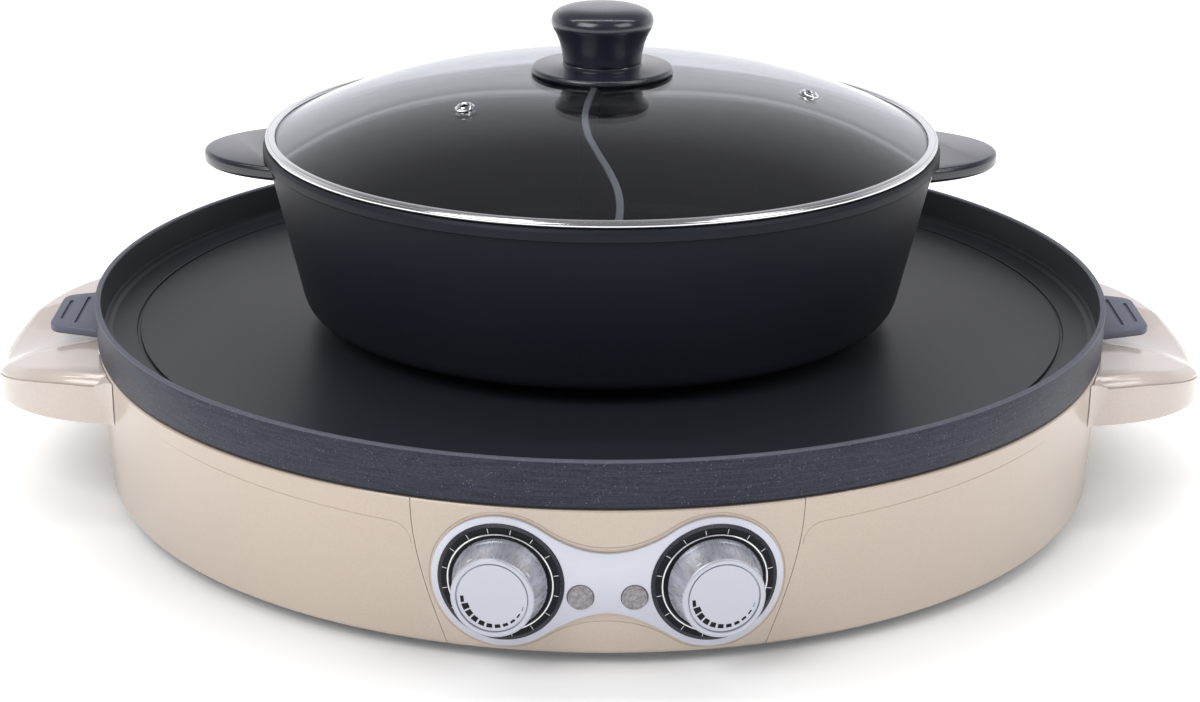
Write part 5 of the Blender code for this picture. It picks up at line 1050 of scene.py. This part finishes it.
smoked = surface("smoked_glass", {
    "Base Color": (0.70, 0.72, 0.76), "Transmission Weight": 1.0, "IOR": 1.5,
    "Specular IOR Level": 0.5,
})
haze = smoked.noise(smoked.spots(), 40, 3)
smoked.set({"Roughness": 0.002 + haze * 0.004})
radii = [0.0040, 0.0100, 0.0200, 0.0307, 0.0400, 0.0500, 0.0600, 0.0700, 0.0800, 0.0880, 0.0960,
         0.1030, 0.1100, 0.1160, 0.1220, 0.1270, 0.1320, 0.1360, 0.1395, 0.1421]
faces = [(r, dome(r)) for r in radii] + [(r, dome(r) - GLASS) for r in reversed(radii)]
glass = turned("glass", faces, 192)
VENT_PLACES = {}
for side, share, degrees in (("left", 0.527, -140.0), ("right", 0.627, -7.2)):
    radius, turn = GLASS_RADIUS * share, math.radians(degrees)
    tilt = math.atan(DOME_CURVE * DOME_RISE / GLASS_RADIUS * share ** (DOME_CURVE - 1))
    spot = Vector((radius * math.cos(turn), radius * math.sin(turn), dome(radius)))
    VENT_PLACES[side] = AXIS @ Matrix.LocRotScale(spot, Euler((0, tilt, turn)), None)
    cut(glass, [drill(VENT_HOLE, VENT_PLACES[side], depth=0.016)])
settle(glass, degrees=35)
fit(glass, "lid", smoked, "smoked_glass", "lid_glass")


# The lid's rim: a stainless band rolled over the edge of the glass, with a groove and a
# rounded bead outside and a leg that hangs in the pot's mouth.
RIM_TOP = dome(0.1409) + 0.0012
RIM_FOOT = POT_LIP + SEAT_GAP
rim = turned("rim", [(radius, RIM_TOP - drop) for radius, drop in (
    (0.1407, 0.0008), (0.1409, 0.0003), (0.1413, 0), (0.1419, 0.00005), (0.1431, 0.0002),
    (0.1435, 0.0004), (0.1437, 0.0009), (0.1440, 0.0009), (0.1442, 0.0006), (0.1445, 0.0006),
    (0.1448, 0.0009), (0.1450, 0.0014),
)] + [
    (0.1449, POT_LIP + 0.0009), (0.1446, POT_LIP + 0.0005), (0.1440, RIM_FOOT), (0.1432, RIM_FOOT),
    (0.1432, 0.1403), (0.1396, 0.1403), (0.1396, 0.1411), (0.1424, 0.1411),
    (0.1424, RIM_TOP - 0.0012 + SEAT_GAP), (0.1409, RIM_TOP - 0.0012 + SEAT_GAP),
])
settle(rim, degrees=40)
fit(rim, "lid", bright_steel, "polished_steel", "lid_rim")


# The lid's knob: a turned phenolic grip with a waisted stem, on a wide heat guard that
# keeps the fingers off the glass. One screw through the glass clamps both.
GRIP_RADIUS = 0.0220
GRIP_HEIGHT = 0.0239
guard_edge = dome(0.0307) + SEAT_GAP
guard_top = guard_edge + 0.0045
guard = turned("guard", [(0.0169, guard_top)] + [(radius, guard_edge + height) for radius, height in (
    (0.0172, 0.0042), (0.0172, 0.0032), (0.0178, 0.0030), (0.0288, 0.0025), (0.0299, 0.0023),
    (0.0305, 0.0018), (0.0307, 0.0011), (0.0306, 0.0004), (0.0302, 0),
)] + [(radius, dome(radius) + SEAT_GAP) for radius in (0.0200, 0.0100, 0.0030)] + [(0.0030, guard_top)], 144)
settle(guard, degrees=40)
fit(guard, "lid", phenolic, "black_phenolic", "lid_knob_guard")

seat = guard_top + SEAT_GAP
head = [
    (0, 1.0), (0.30, 0.996), (0.55, 0.984), (0.75, 0.955), (0.89, 0.905), (0.96, 0.850), (0.992, 0.785),
    (1.0, 0.720), (0.994, 0.665), (0.975, 0.615), (0.93, 0.545), (0.885, 0.465), (0.845, 0.370),
    (0.810, 0.260), (0.785, 0.150), (0.775, 0.060), (0.770, 0.012), (0.760, 0.0),
]
handle = turned("knob", [(GRIP_RADIUS * r, seat + GRIP_HEIGHT * h) for r, h in head] + [
    (0.0027, seat), (0.0027, seat + 0.0120), (0, seat + 0.0120),
], 144)
settle(handle, degrees=40)
fit(handle, "lid", phenolic, "black_phenolic", "lid_knob")


# The steam vents: steel eyelets rolled over both faces of the glass, each with a dark
# sleeve in its bore, a painted shade for the dark hole.
for side, place in VENT_PLACES.items():
    eyelet = turned(f"{side}_eyelet", [
        (0.0019, 0.0010), (0.0021, 0.0015), (0.0025, 0.0017), (0.0032, 0.0016), (0.0036, 0.0011),
        (0.0041, 0.0008), (0.0042, 0.0003), (0.0028, 0.0003), (0.0028, -GLASS - 0.0003),
        (0.0042, -GLASS - 0.0003), (0.0041, -GLASS - 0.0007), (0.0034, -GLASS - 0.0009),
        (0.0020, -GLASS - 0.0009),
    ], 48)
    settle(eyelet, place)
    fit(eyelet, "lid", bright_steel, "polished_steel", f"steam_vent_{side}")
    # Painted shade: a black sleeve in the bore stands for the dark hole through the vent.
    painted_shade_sleeve = turned(f"{side}_vent_painted_shade_sleeve", [
        (0.0014, 0.0004), (0.0017, 0.0011), (0.00185, 0.0011), (0.00185, -GLASS - 0.0008),
        (0.0014, -GLASS - 0.0008),
    ], 32)
    settle(painted_shade_sleeve, place)
    fit(painted_shade_sleeve, "lid", dial_black, "black_plastic")


# What keeps its plain shape: the heaters, the sheet metal under the pan, the cover below,
# the inlet, the feet and the screws. Each gets its finish, from its own process.
def dress(finish, *nodes):
    for node in nodes:
        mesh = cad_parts[node].data
        mesh.materials.clear()
        mesh.materials.append(finish.owner)


galvanised = surface("galvanised_steel", {"Metallic": 1.0})
spangle = galvanised.flakes(150)
galvanised.vary(spangle, (0.46, 0.47, 0.48), (0.60, 0.61, 0.63), 0.30, 0.16)
galvanised.bump(galvanised.noise(galvanised.spots(), 300), 0.00004, 0.2)
dress(galvanised, "heat_reflector", "heater_sleeve", "bottom_cover", "element_saddle_1", "element_saddle_2",
      "element_saddle_3", "hotpot_knob_shaft", "grill_knob_shaft")

cast = surface("cast_aluminium", {"Metallic": 1.0})
pits = cast.noise(cast.spots(), 500, 4, 0.7)
cast.vary(pits, (0.36, 0.36, 0.37), (0.52, 0.52, 0.53), 0.42, 0.2)
cast.bump(pits, 0.0002, 0.4)
dress(cast, "hotpot_heater_plate")

sheath = surface("element_sheath", {"Metallic": 0.9})
bloom = sheath.noise(sheath.spots(), 90, 4, 0.7)
sheath.vary(bloom, (0.10, 0.10, 0.11), (0.20, 0.18, 0.17), 0.38, 0.2)
dress(sheath, "grill_heater_element")

black = surface("black_plastic", {"Specular IOR Level": 0.4})
grit = black.noise(black.spots(), 1400, 2, 0.7)
black.vary(grit, (0.014, 0.014, 0.016), (0.030, 0.030, 0.033), 0.42, 0.2)
black.bump(grit, 0.0001, 0.4)
dress(black, "hotpot_thermostat", "grill_thermostat", "power_inlet")

rubber = surface("foot_rubber", {"Specular IOR Level": 0.25})
bloom = rubber.noise(rubber.spots(), 300, 3)
rubber.vary(bloom, (0.018, 0.018, 0.019), (0.035, 0.035, 0.037), 0.70, 0.2)
dress(rubber, "foot_1", "foot_2", "foot_3", "foot_4", "lid_washer")

screws = [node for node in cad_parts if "screw" in node]
dress(bright_steel, *screws)
